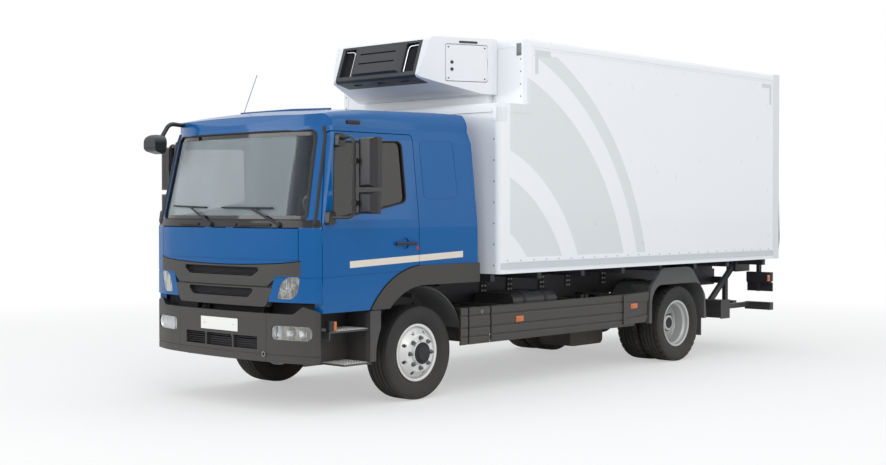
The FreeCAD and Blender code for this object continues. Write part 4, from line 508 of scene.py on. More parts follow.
class Modeller:
    """One piece on the bench, shaped with Blender's own operators."""

    def __init__(self, obj: bpy.types.Object) -> None:
        """Take up an object as the piece being worked on."""
        self.obj = obj

    @staticmethod
    def clear() -> None:
        """Leave nothing selected."""
        bpy.ops.object.select_all(action="DESELECT")

    def take(self) -> None:
        """Select this piece alone."""
        self.clear()
        self.obj.select_set(True)
        bpy.context.view_layer.objects.active = self.obj

    @classmethod
    def _adopt(cls, name: str) -> "Modeller":
        """Name the new active object and apply its place to its mesh."""
        obj = bpy.context.active_object
        obj.name = name
        obj.data.name = name
        bpy.ops.object.transform_apply(location=True, rotation=True, scale=True)
        return cls(obj)

    @classmethod
    def block(cls, name: str, low: Sequence[float], high: Sequence[float]) -> "Modeller":
        """A block between two corners.

        Args:
            name: The piece's name.
            low: Its lowest corner.
            high: Its highest corner.

        Returns:
            The new piece.
        """
        cls.clear()
        size = Vector(high) - Vector(low)
        bpy.ops.mesh.primitive_cube_add(size=1, location=(Vector(low) + Vector(high)) / 2, scale=size)
        return cls._adopt(name)

    @classmethod
    def drum(cls, name: str, start: Sequence[float], end: Sequence[float], radius: float,
             sides: int = 24) -> "Modeller":
        """A round bar from one point to another.

        Args:
            name: The piece's name.
            start: Centre of one end.
            end: Centre of the other end.
            radius: Its radius.
            sides: Faces round it.

        Returns:
            The new piece.
        """
        cls.clear()
        a, b = Vector(start), Vector(end)
        turn = (b - a).to_track_quat("Z", "Y").to_euler()
        bpy.ops.mesh.primitive_cylinder_add(vertices=sides, radius=radius, depth=(b - a).length,
                                            location=(a + b) / 2, rotation=turn)
        return cls._adopt(name)

    @classmethod
    def _swept(cls, name: str, points: Sequence[Point], kind: str, radius: float, sides: int,
               closed: bool = False) -> "Modeller":
        """A round bar swept along a curve of one kind, with eight steps to a span, made a mesh."""
        cls.clear()
        bpy.ops.curve.primitive_nurbs_path_add(location=(0, 0, 0))
        curve = bpy.context.active_object.data
        curve.splines.clear()
        spline = curve.splines.new(kind)
        spline.points.add(len(points) - 1)
        for spot, point in zip(spline.points, points):
            spot.co = (*point, 1.0)
        spline.use_cyclic_u = closed
        if kind == "NURBS":
            spline.order_u = 3
            spline.use_endpoint_u = True
            curve.resolution_u = 8
        curve.bevel_depth = radius
        curve.bevel_resolution = sides
        curve.use_fill_caps = not closed
        bpy.ops.object.convert(target="MESH")
        return cls._adopt(name)

    @classmethod
    def tube(cls, name: str, points: Sequence[Point], radius: float, sides: int = 3) -> "Modeller":
        """A round tube along a smooth line through points.

        Args:
            name: The piece's name.
            points: Points that the line passes.
            radius: The tube's radius.
            sides: Steps in a quarter of its section.

        Returns:
            The new piece.
        """
        return cls._swept(name, points, "NURBS", radius, sides)

    @classmethod
    def _drawn(cls, name: str, spots: Sequence[Vector]) -> "Modeller":
        """A chain of points drawn by extruding one, left selected in edit mode."""
        cls.clear()
        bpy.ops.mesh.primitive_plane_add(size=0.01, location=spots[0])
        piece = cls._adopt(name)
        bpy.ops.object.mode_set(mode="EDIT")
        bpy.ops.mesh.select_mode(type="VERT")
        bpy.ops.mesh.select_all(action="SELECT")
        bpy.ops.mesh.merge(type="CENTER")
        for here, following in zip(spots, spots[1:]):
            bpy.ops.mesh.extrude_region_move(TRANSFORM_OT_translate={"value": following - here})
        bpy.ops.mesh.select_all(action="SELECT")
        return piece

    @classmethod
    def plate(cls, name: str, corners: Iterable[Point], depth: Point) -> "Modeller":
        """A flat outline, closed to a face and extruded by a vector.

        Args:
            name: The piece's name.
            corners: The outline's corners in order.
            depth: The plate's thickness as a vector.

        Returns:
            The new piece.
        """
        piece = cls._drawn(name, [Vector(corner) for corner in corners])
        bpy.ops.mesh.edge_face_add()
        bpy.ops.mesh.select_all(action="SELECT")
        bpy.ops.mesh.extrude_region_move(TRANSFORM_OT_translate={"value": depth})
        bpy.ops.mesh.select_all(action="SELECT")
        bpy.ops.mesh.normals_make_consistent(inside=False)
        return piece.done()

    @classmethod
    def of_node(cls, name: str, node: str, keep: Callable[[object], bool], wall: float) -> "Modeller":
        """A thin shell of some faces of a solid, from a merged copy of its mesh.

        Args:
            name: The piece's name.
            node: The solid that is copied.
            keep: Picks the faces that stay.
            wall: The shell's thickness, inwards.

        Returns:
            The new piece.
        """
        cls.clear()
        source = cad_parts[node]
        obj = bpy.data.objects.new(name, source.data.copy())
        bpy.context.scene.collection.objects.link(obj)
        piece = cls(obj)
        obj.data.transform(shift(y=-FRONT_AXLE_Y))
        piece.edit("VERT", lambda vert: True)
        bpy.ops.mesh.remove_doubles(threshold=0.00001)
        piece.done()
        piece.edit("FACE", lambda face: not keep(face))
        bpy.ops.mesh.delete(type="FACE")
        piece.done()
        if wall:
            solid = obj.modifiers.new("wall", "SOLIDIFY")
            solid.thickness = wall
            bpy.ops.object.modifier_apply(modifier=solid.name)
        return piece

    @classmethod
    def bead(cls, name: str, points: Sequence[Point], radius: float, closed: bool = False,
             sides: int = 2) -> "Modeller":
        """A round bar that passes through every point.

        Args:
            name: The piece's name.
            points: Points that it passes.
            radius: Its radius.
            closed: Whether its ends meet.
            sides: Steps in a quarter of its section.

        Returns:
            The new piece.
        """
        return cls._swept(name, points, "POLY", radius, sides, closed)

    @classmethod
    def turned(cls, name: str, profile: Sequence[Spot], centre: Point, steps: int,
               axis: Point = (1.0, 0.0, 0.0), out: Point = (0.0, 0.0, 1.0)) -> "Modeller":
        """A profile of (along the axis, radius) points, drawn by extruding a point, then spun.

        Args:
            name: The piece's name.
            profile: Points of the profile.
            centre: A point on the axis, where "along" is zero.
            steps: Steps in the full turn.
            axis: Direction of the axis.
            out: Direction of the radius.

        Returns:
            The new piece.
        """
        spots = [Vector(centre) + Vector(axis) * a + Vector(out) * r for a, r in profile]
        piece = cls._drawn(name, spots)
        bpy.ops.mesh.spin(steps=steps, angle=math.tau, center=centre, axis=axis)
        bpy.ops.mesh.select_all(action="SELECT")
        bpy.ops.mesh.remove_doubles(threshold=0.00005)
        bpy.ops.mesh.normals_make_consistent(inside=False)
        bpy.ops.object.mode_set(mode="OBJECT")
        return piece

    def edit(self, kind: str, test: Callable[[object], bool]) -> None:
        """Enter edit mode with the faces, edges or vertices that pass a test selected.

        Args:
            kind: "FACE", "EDGE" or "VERT".
            test: Called with each element.
        """
        bpy.context.view_layer.objects.active = self.obj
        bpy.ops.object.mode_set(mode="EDIT")
        bpy.ops.mesh.select_mode(type=kind)
        bpy.ops.mesh.select_all(action="DESELECT")
        shape = bmesh.from_edit_mesh(self.obj.data)
        shape.normal_update()
        elements = {"FACE": shape.faces, "EDGE": shape.edges, "VERT": shape.verts}[kind]
        for element in elements:
            if test(element):
                element.select_set(True)
        bmesh.update_edit_mesh(self.obj.data)

    def done(self) -> "Modeller":
        """Leave edit mode."""
        bpy.ops.object.mode_set(mode="OBJECT")
        return self

    def bevel(self, width: float, segments: int = 2, test: Callable[[object], bool] | None = None) -> "Modeller":
        """Round the edges that pass a test, or all of them."""
        self.edit("EDGE", test or (lambda edge: True))
        bpy.ops.mesh.bevel(offset=width, segments=segments, affect="EDGES")
        return self.done()

    def inset(self, test: Callable[[object], bool], width: float, depth: float = 0.0) -> "Modeller":
        """Inset the faces that pass a test and push them in or out.

        Args:
            test: Picks faces.
            width: Width of the rim.
            depth: Outward push of the inset faces.

        Returns:
            This piece.
        """
        self.edit("FACE", test)
        bpy.ops.mesh.inset(thickness=width, depth=0.0, use_boundary=True)
        if depth:
            bpy.ops.mesh.extrude_region_shrink_fatten(TRANSFORM_OT_shrink_fatten={"value": depth})
        return self.done()

    def fatten(self, test: Callable[[object], bool], distance: float) -> "Modeller":
        """Extrude the faces that pass a test along their normals."""
        self.edit("FACE", test)
        bpy.ops.mesh.extrude_region_shrink_fatten(TRANSFORM_OT_shrink_fatten={"value": distance})
        return self.done()

    def smooth(self, degrees: float = 40.0) -> "Modeller":
        """Shade smooth except at edges sharper than an angle."""
        self.take()
        bpy.ops.object.shade_smooth_by_angle(angle=math.radians(degrees))
        return self

    def dress(self, finish: Finish | Glass) -> "Modeller":
        """Give the whole piece one finish."""
        self.obj.data.materials.clear()
        self.obj.data.materials.append(finish.material())
        return self

    def copy(self, matrix: Matrix) -> "Modeller":
        """A copy of the piece with its own mesh, moved by a matrix."""
        obj = self.obj.copy()
        obj.data = self.obj.data.copy()
        bpy.context.scene.collection.objects.link(obj)
        obj.data.transform(matrix)
        if matrix.determinant() < 0:
            obj.data.flip_normals()
        return Modeller(obj)

    def mirrored(self) -> "Modeller":
        """A copy on the other side of the vehicle."""
        return self.copy(Matrix.Scale(-1.0, 4, (1.0, 0.0, 0.0)))

    def absorb(self, others: Iterable["Modeller"]) -> "Modeller":
        """Join other pieces into this one."""
        self.take()
        for other in others:
            other.obj.select_set(True)
        bpy.ops.object.join()
        return self

    def array(self, matrices: Iterable[Matrix]) -> "Modeller":
        """Join moved copies of the piece into it."""
        return self.absorb([self.copy(matrix) for matrix in matrices])

    def grid(self, counts: tuple[int, int], pitches: Spot) -> "Modeller":
        """Repeat the piece in rows along X and Y."""
        self.take()
        for count, offset in ((counts[0], (pitches[0], 0.0, 0.0)), (counts[1], (0.0, pitches[1], 0.0))):
            if count > 1:
                row = self.obj.modifiers.new("row", "ARRAY")
                row.count = count
                row.use_relative_offset = False
                row.use_constant_offset = True
                row.constant_offset_displace = offset
                bpy.ops.object.modifier_apply(modifier=row.name)
        return self

    def fit(self, name: str, body: str, slot: str, *nodes: str) -> bpy.types.Object:
        """Name the finished piece and hand it to its body.

        Args:
            name: The piece's final name.
            body: The moving body that carries it.
            slot: The record's material slot; not used.
            nodes: Solids that it stands for.

        Returns:
            The finished object.
        """
        self.obj.name = name
        self.obj.data.name = name
        self.obj.data.transform(shift(y=FRONT_AXLE_Y))
        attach(self.obj, body)
        if nodes:
            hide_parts(*nodes)
        log.info("%s on %s, %d faces", name, body, len(self.obj.data.polygons))
        return self.obj


def shift(x: float = 0.0, y: float = 0.0, z: float = 0.0) -> Matrix:
    """A move as a matrix."""
    return Matrix.Translation((x, y, z))


def about_hub(angle: float, axle_y: float) -> Matrix:
    """A turn about a wheel's axle."""
    centre = Vector((0.0, axle_y, HUB_Z))
    return Matrix.Translation(centre) @ Matrix.Rotation(angle, 4, "X") @ Matrix.Translation(-centre)


def rounded(corners: Sequence[Sequence[float]], steps: int = 6) -> list[Spot]:
    """Outline through (u, v) or (u, v, radius) corners, each radius as a short chain of points.

    Args:
        corners: The corners in order.
        steps: Steps round each arc.

    Returns:
        Points of the closed outline.
    """
    outline = []
    for index, corner in enumerate(corners):
        here = Vector(corner[:2])
        if len(corner) < 3:
            outline.append(tuple(here))
            continue
        back = (Vector(corners[index - 1][:2]) - here).normalized()
        onward = (Vector(corners[(index + 1) % len(corners)][:2]) - here).normalized()
        half = back.angle(onward) / 2
        centre = here + (back + onward).normalized() * corner[2] / math.sin(half)
        reach = corner[2] / math.tan(half)
        start, end = here + back * reach - centre, here + onward * reach - centre
        first = math.atan2(start.y, start.x)
        sweep = math.remainder(math.atan2(end.y, end.x) - first, math.tau)
        for step in range(steps + 1):
            angle = first + sweep * step / steps
            outline.append((centre.x + corner[2] * math.cos(angle), centre.y + corner[2] * math.sin(angle)))
    return outline


def along(points: Sequence[Sequence[float]], longest: float) -> list[tuple[float, ...]]:
    """Points of a closed outline with long runs divided, so that a bead can follow a curved face."""
    fine = []
    for here, following in zip(points, [*points[1:], points[0]]):
        start, move = Vector(here), Vector(following) - Vector(here)
        count = max(1, math.ceil(move.length / longest))
        fine.extend(tuple(start + move * step / count) for step in range(count))
    return fine


@dataclass
class Tyre:
    """A road tyre: a spun carcass whose tread ribs are raised by extrusion."""

    axle_y: float
    lugs: bool
    half: float = 0.131
    radius: float = 0.43
    bead: float = 0.0935
    bead_radius: float = 0.2485
    depth: float = 0.010
    steps: int = 160
    grooves: tuple[float, ...] = (0.022, 0.072)
    groove: float = 0.011

    def profile(self) -> list[Spot]:
        """Half section of the carcass, mirrored to the whole."""
        base = self.radius - self.depth
        crown = [(self.half - 0.012, base - 0.007), (self.half - 0.022, base - 0.003)]
        for middle in reversed(self.grooves):
            crown += [(middle + self.groove / 2, base), (middle - self.groove / 2, base)]
        half = [(self.bead, self.bead_radius), (self.bead + 0.003, 0.268), (0.112, 0.288), (0.126, 0.312),
                (self.half, 0.340), (self.half, 0.365), (self.half - 0.002, 0.392),
                (self.half - 0.005, 0.404)] + crown
        return half + [(-x, r) for x, r in reversed(half)]

    def build(self, x: float) -> Modeller:
        """The tyre with its middle at x.

        Args:
            x: Where the middle of the tyre lies.

        Returns:
            The piece.
        """
        piece = Modeller.turned("tyre", self.profile(), (x, self.axle_y, HUB_Z), self.steps)
        base = self.radius - self.depth - 0.0095

        def on_rib(face: bmesh.types.BMFace) -> bool:
            spot = face.calc_center_median()
            across = abs(spot.x - x)
            if math.hypot(spot.y - self.axle_y, spot.z - HUB_Z) < base or across > self.half - 0.013:
                return False
            if any(abs(across - middle) < self.groove / 2 - 0.001 for middle in self.grooves):
                return False
            turn = math.atan2(spot.z - HUB_Z, spot.y - self.axle_y) / math.tau * self.steps
            step = int(turn + self.steps)
            return not (self.lugs and across > self.grooves[-1] and step % 5 == 0)

        piece.fatten(on_rib, self.depth)
        return piece.smooth(32)


@dataclass
class Wheels:
    """Tyres and wheel nuts of all four corners."""

    front_x: float = 0.954
    rear_x: float = 1.017
    dual: float = 0.294
    disc_face: float = 0.147
    disc_wall: float = 0.010
    stud_circle: float = 0.1375
    studs: int = 8
    nut: float = 0.0165
    nut_height: float = 0.024

    def nuts(self, x: float, axle_y: float, height: float) -> Modeller:
        """A ring of wheel nuts with their washers and stud ends.

        Args:
            x: Face that they bear on.
            axle_y: Where the wheel's axle lies along Y.
            height: How high each nut stands.

        Returns:
            The piece.
        """
        top = HUB_Z + self.stud_circle
        washer = Modeller.drum("washer", (x, axle_y, top), (x + 0.005, axle_y, top), self.nut * 1.3, 20)
        nut = Modeller.drum("nut", (x + 0.005, axle_y, top), (x + height, axle_y, top), self.nut, 6)
        nut.bevel(0.0015, 1)
        stud = Modeller.drum("stud", (x + height, axle_y, top), (x + height + 0.012, axle_y, top), self.nut * 0.6, 12)
        stud.bevel(0.0015, 1, lambda edge: all(v.co.x > x + height + 0.011 for v in edge.verts))
        ring = washer.absorb([nut, stud])
        ring.array(about_hub(math.tau * i / self.studs, axle_y) for i in range(1, self.studs))
        # Nuts, washers and stud ends take the darker rivet steel. This is partly their own steel and partly painted
        # shadow round the nuts.
        return ring.smooth(30).dress(RIVET)

    @staticmethod
    def cap(x: float, axle_y: float, radius: float) -> Modeller:
        """A dark hub cap with a ring of ribs.

        Args:
            x: Face of the hub.
            axle_y: Where the wheel's axle lies along Y.
            radius: Radius of the cap.

        Returns:
            The piece.
        """
        profile = [(-0.020, 0.0), (-0.020, radius), (-0.0155, radius), (-0.0115, radius * 0.725),
                   (0.0025, radius * 0.645), (0.0025, 0.0)]
        cap = Modeller.turned("cap", profile, (x, axle_y, HUB_Z), 40)
        rib = Modeller.block("rib", (x - 0.016, axle_y - 0.003, HUB_Z + radius * 0.70),
                             (x - 0.008, axle_y + 0.003, HUB_Z + radius * 0.97)).bevel(0.001, 1)
        rib.array(about_hub(math.tau * i / 16, axle_y) for i in range(1, 16))
        return cap.absorb([rib]).smooth().dress(BLACK_PLASTIC)

    def build(self) -> None:
        """Make the tyres, nuts and hub caps and put them on their wheels."""
        front = Tyre(0.0, lugs=False).build(self.front_x).dress(FRONT_RUBBER)
        drive = Tyre(WHEELBASE, lugs=True)
        outer = drive.build(self.rear_x).dress(REAR_RUBBER)
        inner = outer.copy(shift(-self.dual))
        rear = outer.absorb([inner])
        nuts = self.nuts(self.front_x + self.disc_face, 0.0, self.nut_height)
        meet = self.rear_x - self.disc_face
        rear_nuts = self.nuts(meet + self.disc_wall, WHEELBASE, self.nut_height)
        front_cap, rear_cap = self.cap(self.front_x + 0.190, 0.0, 0.100), self.cap(meet + 0.150, WHEELBASE, 0.096)
        parts = [(front_cap, "front_hub_cap", "wheel_front", "front_rim_paint", ""),
                 (rear_cap, "rear_hub_cap", "wheel_rear", "rear_rim_paint", ""),
                 (front, "front_tyre", "wheel_front", "tyre", "front_tyre"),
                 (rear, "rear_tyres", "wheel_rear", "tyre", "rear_tyres"),
                 (nuts, "front_wheel_nuts", "wheel_front", "front_rim_paint", ""),
                 (rear_nuts, "rear_wheel_nuts", "wheel_rear", "rear_rim_paint", "")]
        for piece, name, body, slot, node in parts:
            far = piece.mirrored()
            for side, made in ((Side.LEFT, piece), (Side.RIGHT, far)):
                nodes = (f"{node}_{side.word}",) if node else ()
                made.fit(f"{name}_tread_{side.word}" if node else f"{name}_{side.word}",
                         f"{body}_{side.word}", slot, *nodes)


def read(stops: Sequence[Spot], at: float) -> float:
    """Value at a place of a line through (place, value) stops."""
    for (low, start), (high, end) in zip(stops, stops[1:]):
        if at <= high:
            return start + (end - start) * (at - low) / (high - low)
    return stops[-1][1]


@dataclass(frozen=True)
class CabSkin:
    """The cab's outer surface, so that trim can be laid on it."""

    halves: tuple[Spot, ...] = ((0.0, 1.1475), (1.572, 1.1475), (1.645, 1.1445), (2.35, 1.10), (2.45, 1.062))
    fronts: tuple[Spot, ...] = ((0.0, -1.430), (1.572, -1.430), (1.645, -1.400), (2.35, -1.24985), (2.45, -1.235))
    curve: tuple[Spot, ...] = ((0.0, 0.0), (0.2, 0.004), (0.4, 0.017), (0.61, 0.042), (0.7, 0.060), (0.8, 0.085),
                               (0.88, 0.113), (0.935, 0.141), (0.978, 0.164), (1.0, 0.190))

    def half(self, z: float) -> float:
        """Half width at a height."""
        return read(self.halves, z)

    def front(self, x: float, z: float, out: float = 0.0) -> Point:
        """A point on the front, some way out of it."""
        return (x, read(self.fronts, z) + read(self.curve, abs(x) / self.half(z)) - out, z)

    def side(self, y: float, z: float, out: float = 0.0) -> Point:
        """A point on the left side, some way out of it."""
        return (self.half(z) + out, y, z)

    def bar(self, name: str, start: Spot, end: Spot, widths: Spot,
            outs: Spot, thick: float) -> Modeller:
        """A flat bar over the front from one (x, z) point to another.

        Args:
            name: The piece's name.
            start: Where it starts.
            end: Where it ends.
            widths: Its width at both ends.
            outs: How far its back stands off the surface at both ends.
            thick: Its thickness.

        Returns:
            The piece.
        """
        a, b = Vector(start), Vector(end)
        across = (b - a).orthogonal().normalized()
        corners = []
        for spot, width, out, sign in ((a, widths[0], outs[0], 1), (b, widths[1], outs[1], 1),
                                       (b, widths[1], outs[1], -1), (a, widths[0], outs[0], -1)):
            flat = spot + across * width / 2 * sign
            corners.append((flat.x, self.front(spot.x, spot.y, out)[1], flat.y))
        return Modeller.plate(name, corners, (0.0, -thick, 0.0)).bevel(thick * 0.25)


SKIN = CabSkin()


def twin(piece: Modeller) -> Modeller:
    """The piece joined with its mirror image."""
    return piece.absorb([piece.mirrored()])


def pair(piece: Modeller, name: str, body: str, slot: str) -> None:
    """Fit a piece of the left side, and its mirror image on the right; the bodies are named by side."""
    far = piece.mirrored()
    for side, made in ((Side.LEFT, piece), (Side.RIGHT, far)):
        made.fit(f"{name}_{side.word}", f"{body}_{side.word}", slot)


def studs(name: str, places: Iterable[Point], towards: Point, radius: float, height: float,
          sides: int = 10) -> Modeller:
    """Rivet or bolt heads at many places, one modelled and the others copied.

    Args:
        name: The piece's name.
        places: Where they sit.
        towards: Direction in which they stand out.
        radius: Radius of a head.
        height: How far a head stands out.
        sides: Faces round a head.

    Returns:
        All heads as one piece.
    """
    first, *others = [Vector(place) for place in places]
    end = first + Vector(towards) * height
    head = Modeller.drum(name, first - Vector(towards) * 0.001, end, radius, sides)
    head.bevel(height * 0.4, 1, lambda edge: all((v.co - end).dot(Vector(towards)) > -0.0001 for v in edge.verts))
    if others:
        head.array([Matrix.Translation(place - first) for place in others])
    return head.smooth(35)


def lamp_bowl(base: Point, radius: float) -> Modeller:
    """The bowl of a headlamp, which opens to the front.

    Args:
        base: Middle of its back.
        radius: Radius of its mouth.

    Returns:
        The piece.
    """
    profile = [(0.0, 0.0), (0.001, radius * 0.3), (0.006, radius * 0.65), (0.014, radius * 0.92), (0.018, radius),
               (0.020, radius + 0.004), (0.0, radius + 0.004), (0.0, 0.0)]
    return Modeller.turned("bowl", profile, base, 28, FORWARD)


def lamp_tub(node: str, steepest: float, rim: float, depth: float) -> Modeller:
    """A pale tub behind the cover of a lamp, from a copy of the lamp's solid.

    Args:
        node: The lamp's solid.
        steepest: The front faces' normals have a Y below this.
        rim: Width of the tub's rim.
        depth: Depth of the tub.

    Returns:
        The piece.
    """
    tub = Modeller.of_node("lamp_tub", node, lambda face: True, 0.0)
    tub.obj.data.transform(shift(y=0.004))
    tub.inset(lambda face: face.normal.y < steepest, rim, -depth)
    return tub.smooth(30).dress(LAMP_TUB)


@dataclass
class CabFront:
    """Wipers, strip grips, seals, grille slats and corner lamps of the cab's front."""

    wipers: tuple[tuple[str, Spot, Spot, Spot, Spot], ...] = (
        ("wiper_left", (0.752, 1.607), (0.387, 1.746), (-0.009, 1.752), (0.632, 1.746)),
        ("wiper_right", (-0.122, 1.607), (-0.478, 1.756), (-0.803, 1.766), (-0.244, 1.752)))
    strip_z: float = 1.603
    grips: tuple[Spot, ...] = ((0.275, 0.653), (-0.607, -0.308))
    knob_x: float = 0.219
    pillar: float = 0.944
    pillar_radius: float = 0.017
    pillar_heights: tuple[float, ...] = (1.60, 1.645, 1.80, 2.0, 2.2, 2.35, 2.44)
    screen: Corners = ((-1.007, 1.643, 0.05), (1.007, 1.643, 0.05), (0.962, 2.412, 0.07), (-0.962, 2.412, 0.07))
    slat_count: int = 6
    slat_pitch: float = 0.0115
    openings: Corners = ((1.168, 0.44, 1.160, 1.710), (0.986, 0.385, 0.975, 1.203))
    bowls: tuple[Point, ...] = ((0.865, 1.082, 0.047), (0.800, 1.030, 0.036))
    bowl_depth: float = 0.034
    flasher: Spot = (0.924, 1.060)
    lamp_front: float = -0.5

    def build(self) -> None:
        """Make and fit the pieces."""
        for wiper in self.wipers:
            self.wiper(*wiper)
        grips = [self.line("grip", x0, x1, self.strip_z, 0.012, 0.005) for x0, x1 in self.grips]
        knob = Modeller.drum("knob", SKIN.front(self.knob_x, self.strip_z, -0.004),
                             SKIN.front(self.knob_x, self.strip_z, 0.012), 0.014, 20)
        knob.bevel(0.003)
        grips[0].absorb([grips[1], knob]).smooth().dress(BLACK_PLASTIC).fit("strip_grips", "cab", "black_plastic")
        self.finishers()
        self.seal()
        self.slats()
        self.lamps()

    def wiper(self, name: str, pivot: Spot, elbow: Spot, tip: Spot, heel: Spot) -> None:
        """One wiper: boss, arm, holder and rubber blade.

        Args:
            name: The piece's name.
            pivot: The boss on the strip, in x and z.
            elbow: Where the arm meets the blade.
            tip: One end of the blade.
            heel: The other end of the blade.
        """
        boss = Modeller.drum("boss", SKIN.front(*pivot, -0.004), SKIN.front(*pivot, 0.030), 0.021, 24)
        boss.bevel(0.004, 3, lambda edge: all(v.co.y < SKIN.front(*pivot, 0.028)[1] for v in edge.verts))
        arm = SKIN.bar("arm", pivot, elbow, (0.026, 0.014), (0.018, 0.020), 0.009)
        steps = 8
        spots = [tuple(tip[i] + (heel[i] - tip[i]) * n / steps for i in (0, 1)) for n in range(steps + 1)]
        rubber = Modeller.bead("rubber", [SKIN.front(*spot, -0.003) for spot in spots], 0.0065)
        spine = Modeller.bead("spine", [SKIN.front(*spot, 0.009) for spot in spots], 0.0075)
        ends = [tuple(elbow[i] + (heel[i] - tip[i]) * share for i in (0, 1)) for share in (-0.12, 0.12)]
        holder = SKIN.bar("holder", *ends, (0.016, 0.016), (0.010, 0.010), 0.012)
        whole = boss.absorb([arm, rubber, spine, holder])
        whole.smooth().dress(BLACK_PLASTIC).fit(name, "cab", "black_plastic")

    @staticmethod
    def line(name: str, x0: float, x1: float, z: float, radius: float, out: float) -> Modeller:
        """A round bar that follows the front at one height."""
        steps = max(3, round(abs(x1 - x0) / 0.06))
        spots = [x0 + (x1 - x0) * n / steps for n in range(steps + 1)]
        return Modeller.bead(name, [SKIN.front(x, z, out) for x in spots], radius)

    def finishers(self) -> None:
        """Black trim down both screen pillars."""
        spots = [SKIN.front(self.pillar * SKIN.half(z), z, -0.004) for z in self.pillar_heights]
        bead = Modeller.bead("pillar", spots, self.pillar_radius, sides=4).smooth()
        twin(bead).dress(BLACK_PLASTIC).fit("pillar_finishers", "cab", "black_plastic")

    def seal(self) -> None:
        """Rubber round the windscreen."""
        outline = along(rounded(self.screen), 0.06)
        bead = Modeller.bead("screen_seal", [SKIN.front(x, z, -0.006) for x, z in outline], 0.009, closed=True)
        bead.smooth().dress(RUBBER).fit("screen_seal", "cab", "black_plastic")

    def slats(self) -> None:
        """Thin slats in both openings of the grille, with a dark mesh behind the lower one."""
        bars = []
        for lowest, foot, foot_z, lean in self.openings:
            for n in range(self.slat_count):
                z = lowest + self.slat_pitch * n
                end = foot + (z - foot_z) * lean + 0.006
                bars.append(self.line("slat", -end, end, z, 0.0032, -0.034))
        bars[0].absorb(bars[1:]).smooth().dress(BLACK_PLASTIC).fit("grille_slats", "cab", "grey_plastic")
        mesh = Modeller.block("mesh", (-0.50, -1.352, 0.955), (0.50, -1.346, 1.070)).bevel(0.001, 1)
        mesh.dress(BLACK_PLASTIC).fit("grille_backing", "cab", "grey_plastic")

    def lamps(self) -> None:
        """Corner lamps: pale tub, two bowls, an amber flasher and a clear cover."""
        lamp_tub("cab_lamps", self.lamp_front, 0.006, 0.028).fit("corner_lamp_tubs", "cab", "lamp_glass")
        bowls = []
        for x, z, radius in self.bowls:
            base = SKIN.front(x, z, -self.bowl_depth)
            bulb = Modeller.drum("bulb", base, SKIN.front(x, z, -0.020), radius * 0.22, 12)
            bowls += [lamp_bowl(base, radius), bulb.bevel(0.002)]
        twin(bowls[0].absorb(bowls[1:])).smooth().dress(CHROME).fit("corner_lamp_bowls", "cab", "lamp_glass")
        amber = Modeller.turned("amber", [(0.0, 0.0), (0.0, 0.020), (0.008, 0.019), (0.014, 0.011), (0.016, 0.0)],
                                SKIN.front(*self.flasher, -0.030), 20, FORWARD)
        twin(amber).smooth().dress(ORANGE).fit("corner_flashers", "cab", "lamp_glass")
        cover = Modeller.of_node("lamp_cover", "cab_lamps", lambda face: face.normal.y < self.lamp_front, 0.003)
        cover.smooth(30).dress(Glass("lamp_cover", tone(238, 240, 240), 0.10))
        cover.fit("corner_lamp_covers", "cab", "lamp_glass", "cab_lamps")


@dataclass
class CabSides:
    """Beads round the door glass, reflectors, handles, panel edges and roof markers."""

    window: Corners = ((-1.058, 2.314, 0.04), (-0.246, 2.340, 0.06), (-0.215, 1.800, 0.06),
                       (-0.560, 1.735, 0.30), (-1.116, 1.650, 0.045))
    sill: tuple[Spot, ...] = ((-1.1, 1.655), (-0.56, 1.74), (-0.2, 1.80))
    sill_start: float = -0.26
    sill_pitch: float = 0.075
    panel: Corners = ((-0.013, 2.352, 0.045), (0.432, 2.369, 0.045), (0.480, 1.839, 0.06), (0.019, 1.828, 0.06))
    handle_ends: Spot = (-0.352, -0.130)

    def build(self) -> None:
        """Make and fit the pieces."""
        outline = along(rounded(self.window), 0.08)
        seal = Modeller.bead("window_seal", [SKIN.side(y, z, -0.007) for y, z in outline], 0.010, closed=True)
        pair(seal.smooth().dress(RUBBER), "window_seal", "door", "black_plastic")
        places = [self.sill_start - self.sill_pitch * n for n in range(11)]
        sill = Modeller.bead("sill", [SKIN.side(y, read(self.sill, y), 0.001) for y in places], 0.004)
        pair(sill.smooth().dress(BLACK_PLASTIC), "window_sill", "door", "black_plastic")
        reflector = Modeller.block("reflector", (1.146, -0.100, 1.372), (1.1525, -0.070, 1.400)).bevel(0.0015)
        pair(reflector.dress(RED), "door_reflector", "door", "black_plastic")
        grip = Modeller.block("grip", (1.160, -0.372, 1.418), (1.178, -0.110, 1.442)).bevel(0.008, 3)
        grip.absorb([Modeller.block("end", (1.140, y - 0.016, 1.415), (1.174, y + 0.016, 1.445)).bevel(0.006, 3)
                     for y in self.handle_ends])
        pair(grip.smooth().dress(BLACK_PLASTIC), "door_handle", "door", "black_plastic")
        edge = along(rounded(self.panel), 0.1)
        panel = Modeller.bead("panel_edge", [SKIN.side(y, z, -0.003) for y, z in edge], 0.007, closed=True)
        twin(panel.smooth()).dress(CAB_PAINT).fit("sleeper_panel_edges", "cab", "cab_paint")
        marker = Modeller.block("marker", (1.035, -0.880, 2.470), (1.078, -0.726, 2.506)).bevel(0.008, 3).smooth()
        twin(marker).dress(BLACK_PLASTIC).fit("roof_markers", "cab", "black_plastic")


